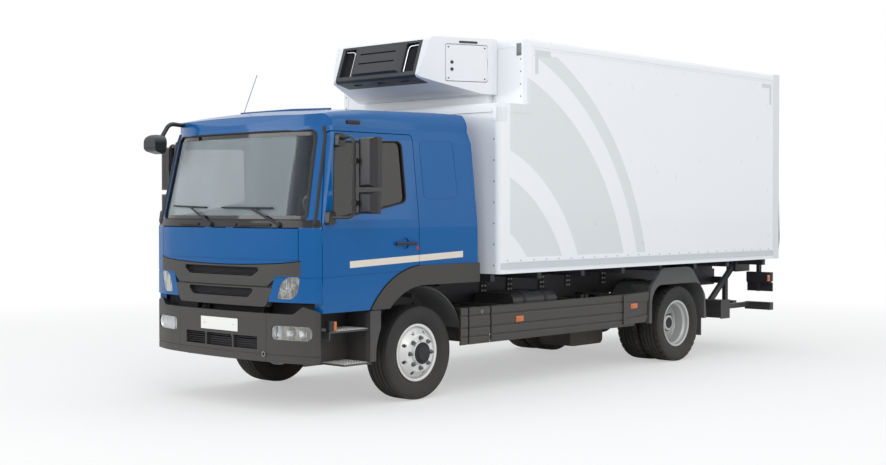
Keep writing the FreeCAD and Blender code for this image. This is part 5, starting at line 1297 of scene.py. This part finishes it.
@dataclass
class Mirrors:
    """Silvered glass in the housings of the door mirrors."""

    inner: Spot = (1.31, -0.928)
    outer: Spot = (1.50, -0.875)
    panes: tuple[Point, ...] = ((1.922, 2.340, 0.0), (1.697, 1.882, -0.012))
    thick: float = 0.003

    def build(self) -> None:
        """Make and fit the panes."""
        start, end = Vector(self.inner), Vector(self.outer)
        run = end - start
        width = run.length
        back = Vector((-run.y, run.x)).normalized()
        panes = []
        for low, high, setback in self.panes:
            corners = rounded([(0.010, low + 0.012, 0.02), (width - 0.010, low + 0.012, 0.02),
                               (width - 0.010, high - 0.012, 0.02), (0.010, high - 0.012, 0.02)], 4)
            spots = [(start + run.normalized() * u, v) for u, v in corners]
            places = [(spot.x + back.x * 0.0005, spot.y + setback + back.y * 0.0005, v) for spot, v in spots]
            pane = Modeller.plate("pane", places, (back.x * self.thick, back.y * self.thick, 0.0))
            panes.append(pane.bevel(0.0008, 1))
        pair(panes[0].absorb(panes[1:]).smooth(30).dress(CHROME), "mirror_glass", "door", "mirror_black")


@dataclass
class Bumper:
    """Fog lamps, blank number plate, slats and bolts of the front bumper."""

    face: float = -1.424
    lamp_z: float = 0.685
    bowls: tuple[Spot, ...] = ((0.735, 0.046), (0.860, 0.040), (0.985, 0.046))
    bowl_depth: float = 0.036
    lamp_front: float = -0.3
    plate: tuple[Spot, Spot] = ((-0.26, 0.669), (0.26, 0.781))
    bolts: Spot = (-0.2, 0.2)
    openings: tuple[Spot, ...] = ((-0.50, -0.20), (-0.18, 0.18), (0.20, 0.50))
    slat_foot: float = 0.546
    slat_pitch: float = 0.0195

    def build(self) -> None:
        """Make and fit the pieces."""
        self.lamps()
        (x0, z0), (x1, z1) = self.plate
        carrier = Modeller.block("carrier", (x0 - 0.004, self.face - 0.003, z0 - 0.004),
                                 (x1 + 0.004, self.face + 0.001, z1 + 0.004)).bevel(0.002)
        carrier.dress(BLACK_PLASTIC).fit("plate_carrier", "chassis", "grey_plastic")
        plate = Modeller.block("plate", (x0, self.face - 0.0045, z0), (x1, self.face - 0.003, z1)).bevel(0.0006, 1)
        plate.dress(PLATE_WHITE).fit("number_plate_blank", "chassis", "grey_plastic")
        bolts = studs("plate_bolt", [(x, self.face - 0.0045, 0.725) for x in self.bolts], FORWARD, 0.006, 0.003, 12)
        bolts.dress(ZINC).fit("plate_bolts", "chassis", "grey_plastic")
        slats = [CabFront.line("slat", low - 0.004, high + 0.004, z, 0.0045, -0.026) for low, high in self.openings
                 for z in (self.slat_foot + self.slat_pitch * n for n in range(5))]
        slats[0].absorb(slats[1:]).smooth().dress(BLACK_PLASTIC).fit("bumper_slats", "chassis", "grey_plastic")

    def lamps(self) -> None:
        """Fog lamps: pale tub, three bowls and a clear cover."""
        lamp_tub("bumper_lamps", self.lamp_front, 0.006, 0.026).fit("fog_lamp_tubs", "chassis", "lamp_glass")
        bowls = [lamp_bowl(SKIN.front(x, self.lamp_z, -self.bowl_depth), radius) for x, radius in self.bowls]
        twin(bowls[0].absorb(bowls[1:])).smooth().dress(CHROME).fit("fog_lamp_bowls", "chassis", "lamp_glass")
        cover = Modeller.of_node("fog_cover", "bumper_lamps", lambda face: face.normal.y < self.lamp_front, 0.003)
        cover.smooth(30).dress(Glass("fog_cover", tone(232, 236, 238), 0.10))
        cover.fit("fog_lamp_covers", "chassis", "lamp_glass", "bumper_lamps")


@dataclass
class Steps:
    """Perforated treads on the entry steps and the markers beside them."""

    treads: tuple[Spot, ...] = ((-1.132, 0.700), (-0.970, 0.405))
    sides: Spot = (0.838, 1.128)
    back: float = -0.673
    pitch: float = 0.0315
    columns: int = 9

    def build(self) -> None:
        """Make and fit the pieces."""
        treads = [self.tread(front, z) for front, z in self.treads]
        twin(treads[0].absorb(treads[1:])).smooth(30).dress(TREAD).fit("step_treads", "chassis", "grey_plastic")
        marker = Modeller.block("marker", (1.100, -1.094, 0.704), (1.135, -1.060, 0.785)).bevel(0.005, 3).smooth()
        twin(marker).dress(ORANGE).fit("step_markers", "chassis", "grey_plastic")
        holder = Modeller.block("holder", (1.085, -1.145, 0.702), (1.134, -1.090, 0.792)).bevel(0.006, 3).smooth()
        twin(holder).dress(BLACK_PLASTIC).fit("step_marker_holders", "chassis", "grey_plastic")

    def tread(self, front: float, z: float) -> Modeller:
        """One tread with its rows of raised rings.

        Args:
            front: Where it begins along Y.
            z: Height of the step.

        Returns:
            The piece.
        """
        plate = Modeller.block("tread", (self.sides[0], front, z),
                               (self.sides[1], self.back, z + 0.003)).bevel(0.001, 1)
        pimple = Modeller.turned("pimple", [(0.0, 0.0095), (0.003, 0.0075), (0.003, 0.004), (-0.001, 0.003)],
                                 Vector((self.sides[0] + 0.018, front + 0.018, z + 0.0025)), 8, UPWARD, LEFTWARD)
        pimple.grid((self.columns, round((-0.69 - front) / self.pitch)), (self.pitch, self.pitch))
        return plate.absorb([pimple])


@dataclass
class Padding:
    """Stuffing that swells a closed form into a cushion."""

    pressure: float = 4.0
    frames: int = 20
    cap: float = 0.024

    def fill(self, piece: Modeller, voxel: float) -> Modeller:
        """Remesh a form finely and let pressure fill it.

        Args:
            piece: The closed form.
            voxel: Size of the remeshed faces.

        Returns:
            The swollen piece.
        """
        piece.take()
        piece.obj.data.remesh_voxel_size = voxel
        bpy.ops.object.voxel_remesh()
        before = [vertex.co.copy() for vertex in piece.obj.data.vertices]
        cloth = piece.obj.modifiers.new("stuffing", "CLOTH")
        cloth.settings.use_pressure = True
        cloth.settings.uniform_pressure_force = self.pressure
        cloth.settings.effector_weights.gravity = 0.0
        for number in range(1, self.frames + 1):
            bpy.context.scene.frame_set(number)
        bpy.ops.object.modifier_apply(modifier=cloth.name)
        for vertex, start in zip(piece.obj.data.vertices, before):
            move = vertex.co - start
            if move.length > self.cap:
                vertex.co = start + move * (self.cap / move.length)
        finer = piece.obj.modifiers.new("finer", "SUBSURF")
        finer.levels = finer.render_levels = 1
        bpy.ops.object.modifier_apply(modifier=finer.name)
        return piece.smooth(60)


@dataclass
class Interior:
    """Stuffed seats and bunk on their bases."""

    seat_x: float = 0.56
    deck: float = 1.170
    base_top: float = 1.375
    fill: float = 0.7
    fine: float = 0.008
    coarse: float = 0.013

    def build(self) -> None:
        """Make and fit the pieces."""
        padding = Padding()
        low = self.seat_x - 0.24
        base = Modeller.block("seat_base", (low, -0.30, self.deck), (low + 0.48, 0.19, self.base_top)).bevel(0.02, 3)
        twin(base.smooth()).dress(BLACK_PLASTIC).fit("seat_bases", "cab", "seat_fabric", "seats")
        cushion = Modeller.block("seat_cushion", (low + 0.015, -0.31, 1.395),
                                 (low + 0.465, 0.15, 1.475)).bevel(0.025, 3)
        leaning = ((0.085, 1.515), (0.165, 1.515), (0.305, 2.165), (0.245, 2.180))
        back = Modeller.plate("seat_back", [(low + 0.02, y, z) for y, z in leaning], (0.44, 0.0, 0.0)).bevel(0.025, 3)
        rest = Modeller.block("head_rest", (low + 0.11, 0.250, 2.210), (low + 0.37, 0.310, 2.330)).bevel(0.02, 3)
        rest.absorb([Modeller.drum("post", (x, 0.28, 2.15), (x, 0.28, 2.23), 0.006, 12)
                     for x in (low + 0.19, low + 0.29)])
        twin(rest.smooth()).dress(SEAT_CLOTH).fit("head_rests", "cab", "seat_fabric")
        for name, piece in (("seat_cushion", cushion), ("seat_back", back)):
            soft = padding.fill(piece, self.fine).dress(SEAT_CLOTH)
            far = soft.mirrored()
            for side, made in ((Side.LEFT, soft), (Side.RIGHT, far)):
                made.fit(f"{name}_{side.word}", "cab", "seat_fabric")
        bunk = Modeller.block("bunk_mattress", (-0.985, 0.385, 1.498), (0.985, 0.645, 1.580)).bevel(0.025, 3)
        made = padding.fill(bunk, self.coarse).dress(SEAT_CLOTH)
        made.fit("bunk_mattress", "cab", "seat_fabric", "bunk")


@dataclass
class BoxTrim:
    """Rivets, caps, mouldings and rear fittings of the insulated body."""

    front: float = 0.8775
    upper: float = 1.2785
    top: float = 3.39
    rear: float = 6.2555
    half: float = 1.30
    rivet_x: float = 1.230
    rivet_z: float = 1.243
    line_heights: Spot = (1.228, 1.152)
    top_line: float = 3.312
    moulding_z: float = 2.660
    cap_z: Spot = (2.568, 2.703)
    cap_inner: float = 1.203
    cap_back: float = 0.982
    cap_radius: float = 0.062
    door_foot: float = 1.118
    door_edge: float = 0.112
    bars: Spot = (0.18, 0.70)

    def build(self) -> None:
        """Make and fit the pieces."""
        self.rivets()
        self.caps()
        self.lines()
        self.rear_fittings()

    def rivets(self) -> None:
        """Rows of rivets up the front corners and along the base of both sides."""
        rows = [(self.rivet_x, self.front, 1.20 + 0.2 * n) for n in range(7)]
        rows += [(self.rivet_x, self.upper, 2.83 + 0.12 * n) for n in range(4)]
        rivets = studs("rivet", rows, FORWARD, 0.0075, 0.0035)
        low = [(self.half, self.front + 0.12 + 0.2 * n, self.rivet_z) for n in range(26)]
        twin(rivets.absorb([studs("rivet", low, LEFTWARD, 0.006, 0.003)]))
        rivets.dress(RIVET).fit("body_rivets", "chassis", "body_aluminium")

    def lines(self) -> None:
        """Fine seams of the edge profiles and the moulding over the front wall's step."""
        seams = [(self.front + 0.14, self.rear - 0.14, z) for z in self.line_heights]
        seams.append((self.upper + 0.10, self.rear - 0.10, self.top_line))
        beads = [Modeller.bead("line", [(self.half, start, z), (self.half, end, z)], 0.003)
                 for start, end, z in seams]
        across = [(0.0, self.front, self.moulding_z), (1.225, self.front, self.moulding_z)]
        moulding = Modeller.bead("moulding", across, 0.005)
        twin(moulding.absorb(beads)).smooth().dress(ALUMINIUM).fit("body_lines", "chassis", "body_aluminium")

    def caps(self) -> None:
        """Caps on the corners of the front wall and a bracket above."""
        low, high = self.cap_z
        corner = (self.half + 0.002, self.front - 0.002, self.cap_radius)
        arc = rounded([(self.cap_inner, corner[1]), corner, (corner[0], self.cap_back)])
        outer = arc[:-1] + [(corner[0], self.cap_back)]
        inner = [(self.half - 0.001, self.cap_back)] + [(x - 0.003, y + 0.003) for x, y in reversed(outer[1:-1])]
        outline = outer + inner + [(self.cap_inner, self.front + 0.001)]
        cap = Modeller.plate("cap", [(x, y, low) for x, y in outline], (0.0, 0.0, high - low))
        spots = [(1.226, corner[1], z) for z in (low + 0.024, high - 0.025)]
        cap.absorb([studs("cap_rivet", spots, FORWARD, 0.007, 0.003)])
        face = self.upper - 0.005
        bracket = Modeller.block("bracket", (1.180, face, 3.225), (1.238, self.upper + 0.001, 3.345)).bevel(0.002)
        heads = studs("bolt", [(1.209, face, z) for z in (3.25, 3.32)], FORWARD, 0.009, 0.006, 6)
        twin(cap).smooth(30).dress(ALUMINIUM).fit("corner_caps", "chassis", "body_aluminium")
        twin(bracket.absorb([heads])).smooth(30).dress(RIVET).fit("front_brackets", "chassis", "body_aluminium")

    def rear_fittings(self) -> None:
        """Door gaskets, bar handles and upper marker lamps."""
        low, high, edge = self.door_foot + self.door_edge, self.top - self.door_edge, self.half - self.door_edge
        door = rounded([(0.006, low, 0.01), (edge, low, 0.01), (edge, high, 0.01), (0.006, high, 0.01)], 3)
        spots = [(x, self.rear - 0.003, z) for x, z in along(door, 0.4)]
        gasket = Modeller.bead("gasket", spots, 0.006, closed=True)
        twin(gasket).smooth().dress(RUBBER).fit("rear_door_gaskets", "chassis", "body_aluminium")
        bars = [part for x in self.bars for part in self.bar(x)]
        twin(bars[0].absorb(bars[1:])).smooth().dress(ZINC).fit("rear_door_bars", "chassis", "body_aluminium")
        lamps = Modeller.block("marker", (1.205, self.rear - 0.001, 3.315), (1.265, self.rear + 0.010, 3.355))
        twin(lamps.bevel(0.004).smooth()).dress(RED).fit("upper_rear_markers", "chassis", "rear_lamp")

    def bar(self, x: float) -> list[Modeller]:
        """Lever, hub, catch and keeps of one lock bar.

        Args:
            x: Where the bar stands.

        Returns:
            The pieces.
        """
        def part(name: str, half: float, depths: Spot, heights: Spot, edge: float = 0.004) -> Modeller:
            low = (x - half, self.rear + depths[0], heights[0])
            return Modeller.block(name, low, (x + half, self.rear + depths[1], heights[1])).bevel(edge)

        return [part("lever", 0.010, (0.026, 0.036), (1.43, 1.70)), part("hub", 0.022, (0.004, 0.038), (1.66, 1.72)),
                part("catch", 0.030, (-0.002, 0.028), (1.44, 1.47), 0.003),
                *[part("keep", 0.035, (-0.001, 0.034), (z, z + 0.035)) for z in (1.150, self.top - 0.085)]]


@dataclass
class UnitTrim:
    """Fins, pipe, plugs, screws and grips of the cooling unit."""

    foot_y: float = 0.495
    foot_z: float = 3.030
    rise: Spot = (0.3201, 0.9474)
    flank_x: float = 0.6
    flank_slope: float = 0.4561
    flank_way: Point = (0.910, -0.415, 0.0)
    fin_x: float = 0.354
    fin_section: tuple[Spot, ...] = ((0.042, -0.062), (0.336, -0.062), (0.336, -0.030), (0.042, -0.030))
    fins: int = 20
    fin_pitch: float = 0.0083
    pipe: tuple[Spot, ...] = ((0.372, 0.040), (0.372, 0.20), (0.372, 0.31), (0.45, 0.318), (0.512, 0.318))
    plugs: tuple[Spot, ...] = ((0.818, 3.159), (0.818, 3.091))
    screws: tuple[Spot, ...] = ((0.785, 3.005), (0.785, 3.305), (1.135, 3.005), (1.135, 3.305))
    grip: Corners = ((0.885, 3.347, 0.008), (1.065, 3.347, 0.008), (1.065, 3.368, 0.008), (0.885, 3.368, 0.008))

    def face(self, x: float, up: float, out: float) -> Point:
        """A point on the sloping front, some way up and out of it."""
        lean, climb = self.rise
        return (x, self.foot_y + lean * up - climb * out, self.foot_z + climb * up + lean * out)

    def flank(self, y: float, z: float) -> Point:
        """A point on the left flank."""
        return (self.flank_x + self.flank_slope * (y - self.foot_y), y, z)

    def build(self) -> None:
        """Make and fit the pieces."""
        corners = [self.face(self.fin_x, up, out) for up, out in self.fin_section]
        fins = Modeller.plate("fin", corners, (0.0015, 0.0, 0.0)).grid((self.fins, 1), (self.fin_pitch, 0.0))
        twin(fins).dress(ANTHRACITE).fit("condenser_fins", "chassis", "unit_dark")
        pipe = Modeller.tube("pipe", [self.face(x, up, -0.02) for x, up in self.pipe], 0.008)
        twin(pipe).smooth().dress(CHROME).fit("condenser_pipes", "chassis", "unit_dark")
        plugs = studs("plug", [self.flank(*spot) for spot in self.plugs], self.flank_way, 0.017, 0.004, 24)
        plugs.absorb([studs("screw", [self.flank(*spot) for spot in self.screws], self.flank_way, 0.008, 0.004, 6)])
        plugs.dress(ANTHRACITE).fit("hatch_plugs", "unit_hatch", "unit_dark")
        spots = [self.flank(y, z) for y, z in rounded(self.grip, 3)]
        grip = Modeller.plate("grip", spots, tuple(c * 0.004 for c in self.flank_way)).bevel(0.001, 1)
        twin(grip).dress(ANTHRACITE).fit("unit_side_grips", "chassis", "unit_dark")


@dataclass
class LowerBody:
    """Markers, locks, tank straps, shroud, brackets, air tanks and brake chambers under the body."""

    skirt: float = 1.150
    tank: Corners = ((0.517, 0.487, 0.093), (1.043, 0.487, 0.093), (1.043, 0.903, 0.093), (0.517, 0.903, 0.093))
    straps: Spot = (1.56, 1.90)
    strap_width: float = 0.045
    rail: float = 0.449
    bracket: Corners = ((-0.055, 0.87, 0.012), (0.055, 0.87, 0.012), (0.038, 1.085, 0.012), (-0.038, 1.085, 0.012))
    brackets: tuple[float, ...] = (1.62, 2.04, 2.585, 3.05, 3.72)
    bolt_rows: Spot = (-0.022, 0.022)
    bolt_heights: tuple[float, ...] = (0.895, 0.945, 1.0)
    air_tank: Point = (0.66, 2.28, 0.62)
    air_profile: tuple[Spot, ...] = ((0.0, 0.0), (0.006, 0.045), (0.022, 0.085), (0.045, 0.105),
                                     (0.435, 0.105), (0.458, 0.085), (0.474, 0.045), (0.48, 0.0))
    air_bands: Spot = (0.09, 0.35)
    chamber: Point = (0.29, 0.075, 0.52)
    chamber_profile: tuple[Spot, ...] = ((0.0, 0.0), (0.0, 0.055), (0.02, 0.072), (0.055, 0.074), (0.058, 0.080),
                                         (0.066, 0.080), (0.069, 0.074), (0.12, 0.070), (0.14, 0.05), (0.145, 0.0))
    hose: tuple[Point, ...] = ((0.29, 0.15, 0.585), (0.29, 0.16, 0.66), (0.33, 0.20, 0.76), (0.42, 0.22, 0.80),
                               (0.445, 0.24, 0.80))
    ribs: int = 14
    rib_pitch: float = 0.02
    rib_side: float = 1.118
    rib: tuple[Spot, ...] = ((-0.575, 0.475), (-0.575, 0.702), (-0.553, 0.769), (-0.512, 0.882))

    def build(self) -> None:
        """Make and fit the pieces."""
        self.skirt_fittings()
        self.tank_straps()
        shroud = Modeller.block("shroud", (-1.09, -1.200, 0.600), (1.09, -1.192, 0.925)).bevel(0.002, 1)
        shroud.dress(BLACK_PLASTIC).fit("front_shroud", "chassis", "black_plastic")
        self.frame_brackets()
        self.air_tanks()
        self.chambers()
        places = [self.rib_side - self.rib_pitch * n for n in range(self.ribs)]
        ribs = [Modeller.bead("rib", [(x, WHEELBASE + y, z) for y, z in self.rib], 0.0045) for x in places]
        twin(ribs[0].absorb(ribs[1:])).smooth().dress(GUARD).fit("tunnel_ribs", "chassis", "mudguard_plastic")

    def skirt_fittings(self) -> None:
        """Side markers and the battery box's lock."""
        x = self.skirt
        first = Modeller.block("marker", (x - 0.002, 1.303, 0.632), (x + 0.007, 1.419, 0.690)).bevel(0.004)
        second = Modeller.block("marker", (x - 0.005, 3.264, 0.650), (x + 0.004, 3.392, 0.705)).bevel(0.003)
        twin(first.absorb([second])).smooth().dress(ORANGE).fit("skirt_markers", "chassis", "skirt_grey")
        lock = studs("lock", [(x - 0.001, 0.799, 0.763)], LEFTWARD, 0.020, 0.006, 24)
        slot = Modeller.block("slot", (x + 0.004, 0.796, 0.750), (x + 0.008, 0.802, 0.776)).bevel(0.001, 1)
        twin(lock.absorb([slot])).dress(RIVET).fit("battery_locks", "chassis", "skirt_grey")

    def tank_straps(self) -> None:
        """Straps round the fuel tank."""
        outline = rounded(self.tank)
        width = (0.0, self.strap_width, 0.0)
        straps = [Modeller.plate("strap", [(x, y, z) for x, z in outline], width).bevel(0.001, 1)
                  for y in self.straps]
        straps[0].absorb(straps[1:]).smooth(30).dress(BLACK_PLASTIC).fit("tank_straps", "chassis", "tank")

    def frame_brackets(self) -> None:
        """Bolted brackets between the frame rails and the body's subframe."""
        first = self.brackets[0]
        spots = [(self.rail, first + y, z) for y, z in rounded(self.bracket, 3)]
        bracket = Modeller.plate("bracket", spots, (0.010, 0.0, 0.0)).bevel(0.0015, 1)
        shelf = Modeller.block("shelf", (self.rail + 0.006, first - 0.04, 1.060), (0.540, first + 0.04, 1.070))
        bracket.absorb([shelf.bevel(0.002)])
        bracket.array([shift(y=y - first) for y in self.brackets[1:]])
        places = [(self.rail + 0.010, place + y, z) for place in self.brackets for y in self.bolt_rows
                  for z in self.bolt_heights]
        bolts = studs("bolt", places, LEFTWARD, 0.013, 0.010, 6)
        twin(bolts).dress(ZINC).fit("frame_bracket_bolts", "chassis", "chassis_paint")
        twin(bracket).smooth(30).dress(CASTING).fit("frame_brackets", "chassis", "chassis_paint")

    def air_tanks(self) -> None:
        """Two air tanks with domed ends and their bands."""
        x, front, z = self.air_tank
        tank = Modeller.turned("tank", self.air_profile, self.air_tank, 32, BACKWARD)
        bands = []
        for step in self.air_bands:
            y = front + step
            bands.append(Modeller.drum("band", (x, y, z), (x, y + 0.03, z), 0.108, 32))
            bands.append(Modeller.block("foot", (x - 0.015, y, z + 0.10), (x + 0.015, y + 0.03, z + 0.172)))
        twin(tank.absorb(bands)).smooth().dress(TANK).fit("air_tanks", "chassis", "tank")

    def chambers(self) -> None:
        """Brake chambers behind the rear axle with their hoses."""
        x, back, z = self.chamber
        can = Modeller.turned("chamber", self.chamber_profile, (x, WHEELBASE + back, z), 28, BACKWARD)
        hose = Modeller.tube("hose", [(x, WHEELBASE + y, z) for x, y, z in self.hose], 0.008)
        twin(can.absorb([hose])).smooth().dress(CASTING).fit("brake_chambers", "chassis", "cast_parts")


@dataclass
class RearEnd:
    """Lenses and markers of the rear lamps."""

    face: float = 6.2555 + 0.0545
    low: float = 0.832
    high: float = 0.932
    lenses: tuple[tuple[str, float, float, Finish], ...] = (
        ("stop_lenses", 0.866, 0.968, RED), ("flasher_lenses", 0.974, 1.076, ORANGE),
        ("tail_lenses", 1.082, 1.188, RED))

    def build(self) -> None:
        """Make and fit the pieces."""
        for name, x0, x1, finish in self.lenses:
            lens = Modeller.block(name, (x0, self.face - 0.002, self.low), (x1, self.face + 0.007, self.high))
            twin(lens.bevel(0.005, 3).smooth()).dress(finish).fit(name, "chassis", "rear_lamp")
        edge = Modeller.block("edge", (1.190, 6.165, self.low), (1.2015, 6.220, 0.910)).bevel(0.003).smooth()
        twin(edge).dress(ORANGE).fit("rear_edge_markers", "chassis", "rear_lamp")
        filler = Modeller.block("filler", (0.865, 6.235, 0.806), (1.190, 6.285, 0.831)).bevel(0.003, 1)
        twin(filler).dress(BLACK_PLASTIC).fit("lamp_fillers", "chassis", "black_plastic")


@dataclass
class Studio:
    """Pale floor, white surround, soft lamps and the camera."""

    camera_place: Point = (9.4273, -11.2045, 1.7527)
    camera_yaw: float = 42.5766
    camera_pitch: float = -1.0842
    focal_pixels: float = 1331.93
    picture_width: float = 886.0
    sensor: float = 36.0
    floor_size: float = 400.0
    floor_glow: float = 0.45
    floor_fade: Spot = (4.0, 12.0)
    sky: Colour = (0.95, 0.97, 1.0, 1.0)
    sky_strength: float = 0.56
    lamps: tuple[tuple[str, Point, Point, float, float], ...] = (
        ("key", (11.0, -9.0, 10.0), (0.0, 0.0, 1.5), 9.0, 560.0),
        ("side", (14.0, 6.0, 7.0), (0.0, 1.0, 1.5), 9.0, 230.0),
        ("top", (0.0, 0.0, 13.0), (0.0, 0.0, 0.0), 12.0, 440.0),
        ("front", (-6.0, -14.0, 6.0), (0.0, -3.0, 1.5), 8.0, 500.0))

    def build(self) -> None:
        """Make the camera, floor, world and lamps."""
        self.camera()
        self.floor()
        self.world()
        for lamp in self.lamps:
            self.lamp(*lamp)

    def camera(self) -> None:
        """The camera at the photo's own view."""
        bpy.ops.object.camera_add(location=self.camera_place, rotation=(
            math.radians(90 + self.camera_pitch), 0.0, math.radians(self.camera_yaw)))
        camera = bpy.context.active_object
        camera.data.sensor_fit = "HORIZONTAL"
        camera.data.sensor_width = self.sensor
        camera.data.lens = self.focal_pixels / self.picture_width * self.sensor
        camera.data.clip_end = 500.0
        bpy.context.scene.camera = camera

    def floor(self) -> None:
        """A wide pale floor, nearly white to the camera but for the shadow on it."""
        Modeller.clear()
        bpy.ops.mesh.primitive_plane_add(size=self.floor_size, location=(0.0, 0.0, 0.0))
        floor = bpy.context.active_object
        floor.name = "floor"
        board = Board("floor")
        board.set("Base Color", board.blend(board.noise(0.6), tone(244, 244, 244), tone(248, 248, 248)))
        board.set("Roughness", 0.9)
        path = board.node("ShaderNodeLightPath", {}, {})
        glow = board.node("ShaderNodeEmission", {}, {"Color": (1.0, 1.0, 1.0, 1.0), "Strength": 1.0})
        reach = ((board.x * board.x) + (board.y * board.y)) ** 0.5
        near, distant = self.floor_fade
        far = board.out("ShaderNodeMapRange", {}, {"Value": reach, "From Min": near, "From Max": distant,
                                                   "To Min": self.floor_glow, "To Max": 1.0})
        mask = Signal(board, path.outputs["Is Camera Ray"]) * far
        mix = board.node("ShaderNodeMixShader", {}, {0: mask, 1: board.shader.outputs[0], 2: glow.outputs[0]})
        board.tree.links.new(mix.outputs[0], board.output.inputs["Surface"])
        floor.data.materials.append(board.material)

    def world(self) -> None:
        """A white surround to the camera, mirrors and glass, and a softer one as light."""
        world = bpy.data.worlds.new("surround")
        bpy.context.scene.world = world
        world.use_nodes = True
        tree = world.node_tree
        tree.nodes.clear()
        path = tree.nodes.new("ShaderNodeLightPath")
        seen = tree.nodes.new("ShaderNodeMath")
        seen.operation = "MAXIMUM"
        bright = tree.nodes.new("ShaderNodeMath")
        bright.operation = "MAXIMUM"
        tree.links.new(path.outputs["Is Camera Ray"], seen.inputs[0])
        tree.links.new(path.outputs["Is Transmission Ray"], seen.inputs[1])
        tree.links.new(seen.outputs[0], bright.inputs[0])
        tree.links.new(path.outputs["Is Glossy Ray"], bright.inputs[1])
        soft = tree.nodes.new("ShaderNodeBackground")
        soft.inputs["Color"].default_value = self.sky
        soft.inputs["Strength"].default_value = self.sky_strength
        white = tree.nodes.new("ShaderNodeBackground")
        white.inputs["Color"].default_value = (1.0, 1.0, 1.0, 1.0)
        mix = tree.nodes.new("ShaderNodeMixShader")
        tree.links.new(bright.outputs[0], mix.inputs[0])
        tree.links.new(soft.outputs[0], mix.inputs[1])
        tree.links.new(white.outputs[0], mix.inputs[2])
        output = tree.nodes.new("ShaderNodeOutputWorld")
        tree.links.new(mix.outputs[0], output.inputs["Surface"])
        bpy.context.scene.view_settings.view_transform = "Standard"

    @staticmethod
    def lamp(name: str, place: Point, target: Point, size: float, power: float) -> None:
        """A large soft lamp aimed at a point.

        Args:
            name: The lamp's name.
            place: Where it stands.
            target: What it lights.
            size: Width of its square.
            power: Its power in watts.
        """
        turn = (Vector(target) - Vector(place)).to_track_quat("-Z", "Y").to_euler()
        bpy.ops.object.light_add(type="AREA", location=place, rotation=turn)
        lamp = bpy.context.active_object
        lamp.name = name
        lamp.data.size = size
        lamp.data.energy = power


@dataclass
class NodeFinishes:
    """Materials of the solids that stay as they are."""

    finishes: dict[str, Finish | Glass] = field(default_factory=lambda: {
        "ladder_frame": CHASSIS, "body_subframe": CHASSIS, "engine_block": ENGINE, "front_bumper": GREY_PLASTIC,
        "towing_socket": STEEL, "entry_steps": STEP_PLASTIC, "battery_box": SKIRT, "side_skirts": SKIRT,
        "fuel_tank": TANK, "silencer": EXHAUST, "mudguards": GUARD, "front_axle": CASTING, "rear_axle": CASTING,
        "leaf_springs": CHASSIS, "lift_beam": LIFT_STEEL, "underride_guard": LIFT_STEEL, "rear_lamps": BLACK_PLASTIC,
        "rear_frame": ALUMINIUM, "unit_housing": WHITE_PAINT, "unit_grille": ANTHRACITE, "unit_hatch": WHITE_PAINT,
        "cab_floor": BLACK_PLASTIC, "grille": GREY_PLASTIC, "arch_flares": GREY_PLASTIC, "dashboard": INNER_TRIM,
        "seats": INNER_TRIM, "bunk": INNER_TRIM, "kerb_mirror": MIRROR_PLASTIC, "mirror_left": MIRROR_PLASTIC,
        "mirror_right": MIRROR_PLASTIC, "knuckle_left": CASTING, "knuckle_right": CASTING,
        "front_rim_left": RIM_SILVER, "front_rim_right": RIM_SILVER, "rear_rims_left": RIM_GREY,
        "rear_rims_right": RIM_GREY, "lift_arms": LIFT_STEEL, "tilt_cylinders": LIFT_STEEL, "lift_head": LIFT_STEEL,
        "front_tyre_left": RUBBER, "front_tyre_right": RUBBER, "rear_tyres_left": RUBBER, "rear_tyres_right": RUBBER,
        "lift_platform": ZINC, "bumper_lamps": CHROME, "cab_lamps": PLATE_WHITE, "front_frame": CAB_PAINT,
        "cab_side_shell": CAB_PAINT, "cab_roof": CAB_PAINT, "front_lid": CAB_PAINT, "door_left": CAB_PAINT,
        "door_right": CAB_PAINT, "box_floor": PANEL, "box_sides": PANEL, "box_roof": PANEL, "box_front": PANEL,
        "rear_doors": PANEL, "windscreen": SCREEN_GLASS, "door_glass_left": SIDE_GLASS_PAINTED_SHADE,
        "door_glass_right": KERB_GLASS})

    def build(self) -> None:
        """Put a material on every solid."""
        for name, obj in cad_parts.items():
            obj.data.materials.clear()
            obj.data.materials.append(self.finishes[name].material())
        log.info("finishes on %d solids", len(self.finishes))


def main() -> None:
    """Dress the truck, part by part."""
    logging.basicConfig(level=logging.INFO, format="%(message)s")
    parts = (Studio(), NodeFinishes(), Wheels(), CabFront(), CabSides(), Mirrors(), Bumper(), Steps(), Interior(),
             BoxTrim(), UnitTrim(), LowerBody(), RearEnd())
    for part in parts:
        part.build()
        log.info("%s done", type(part).__name__)


if __name__ == "__main__":
    main()
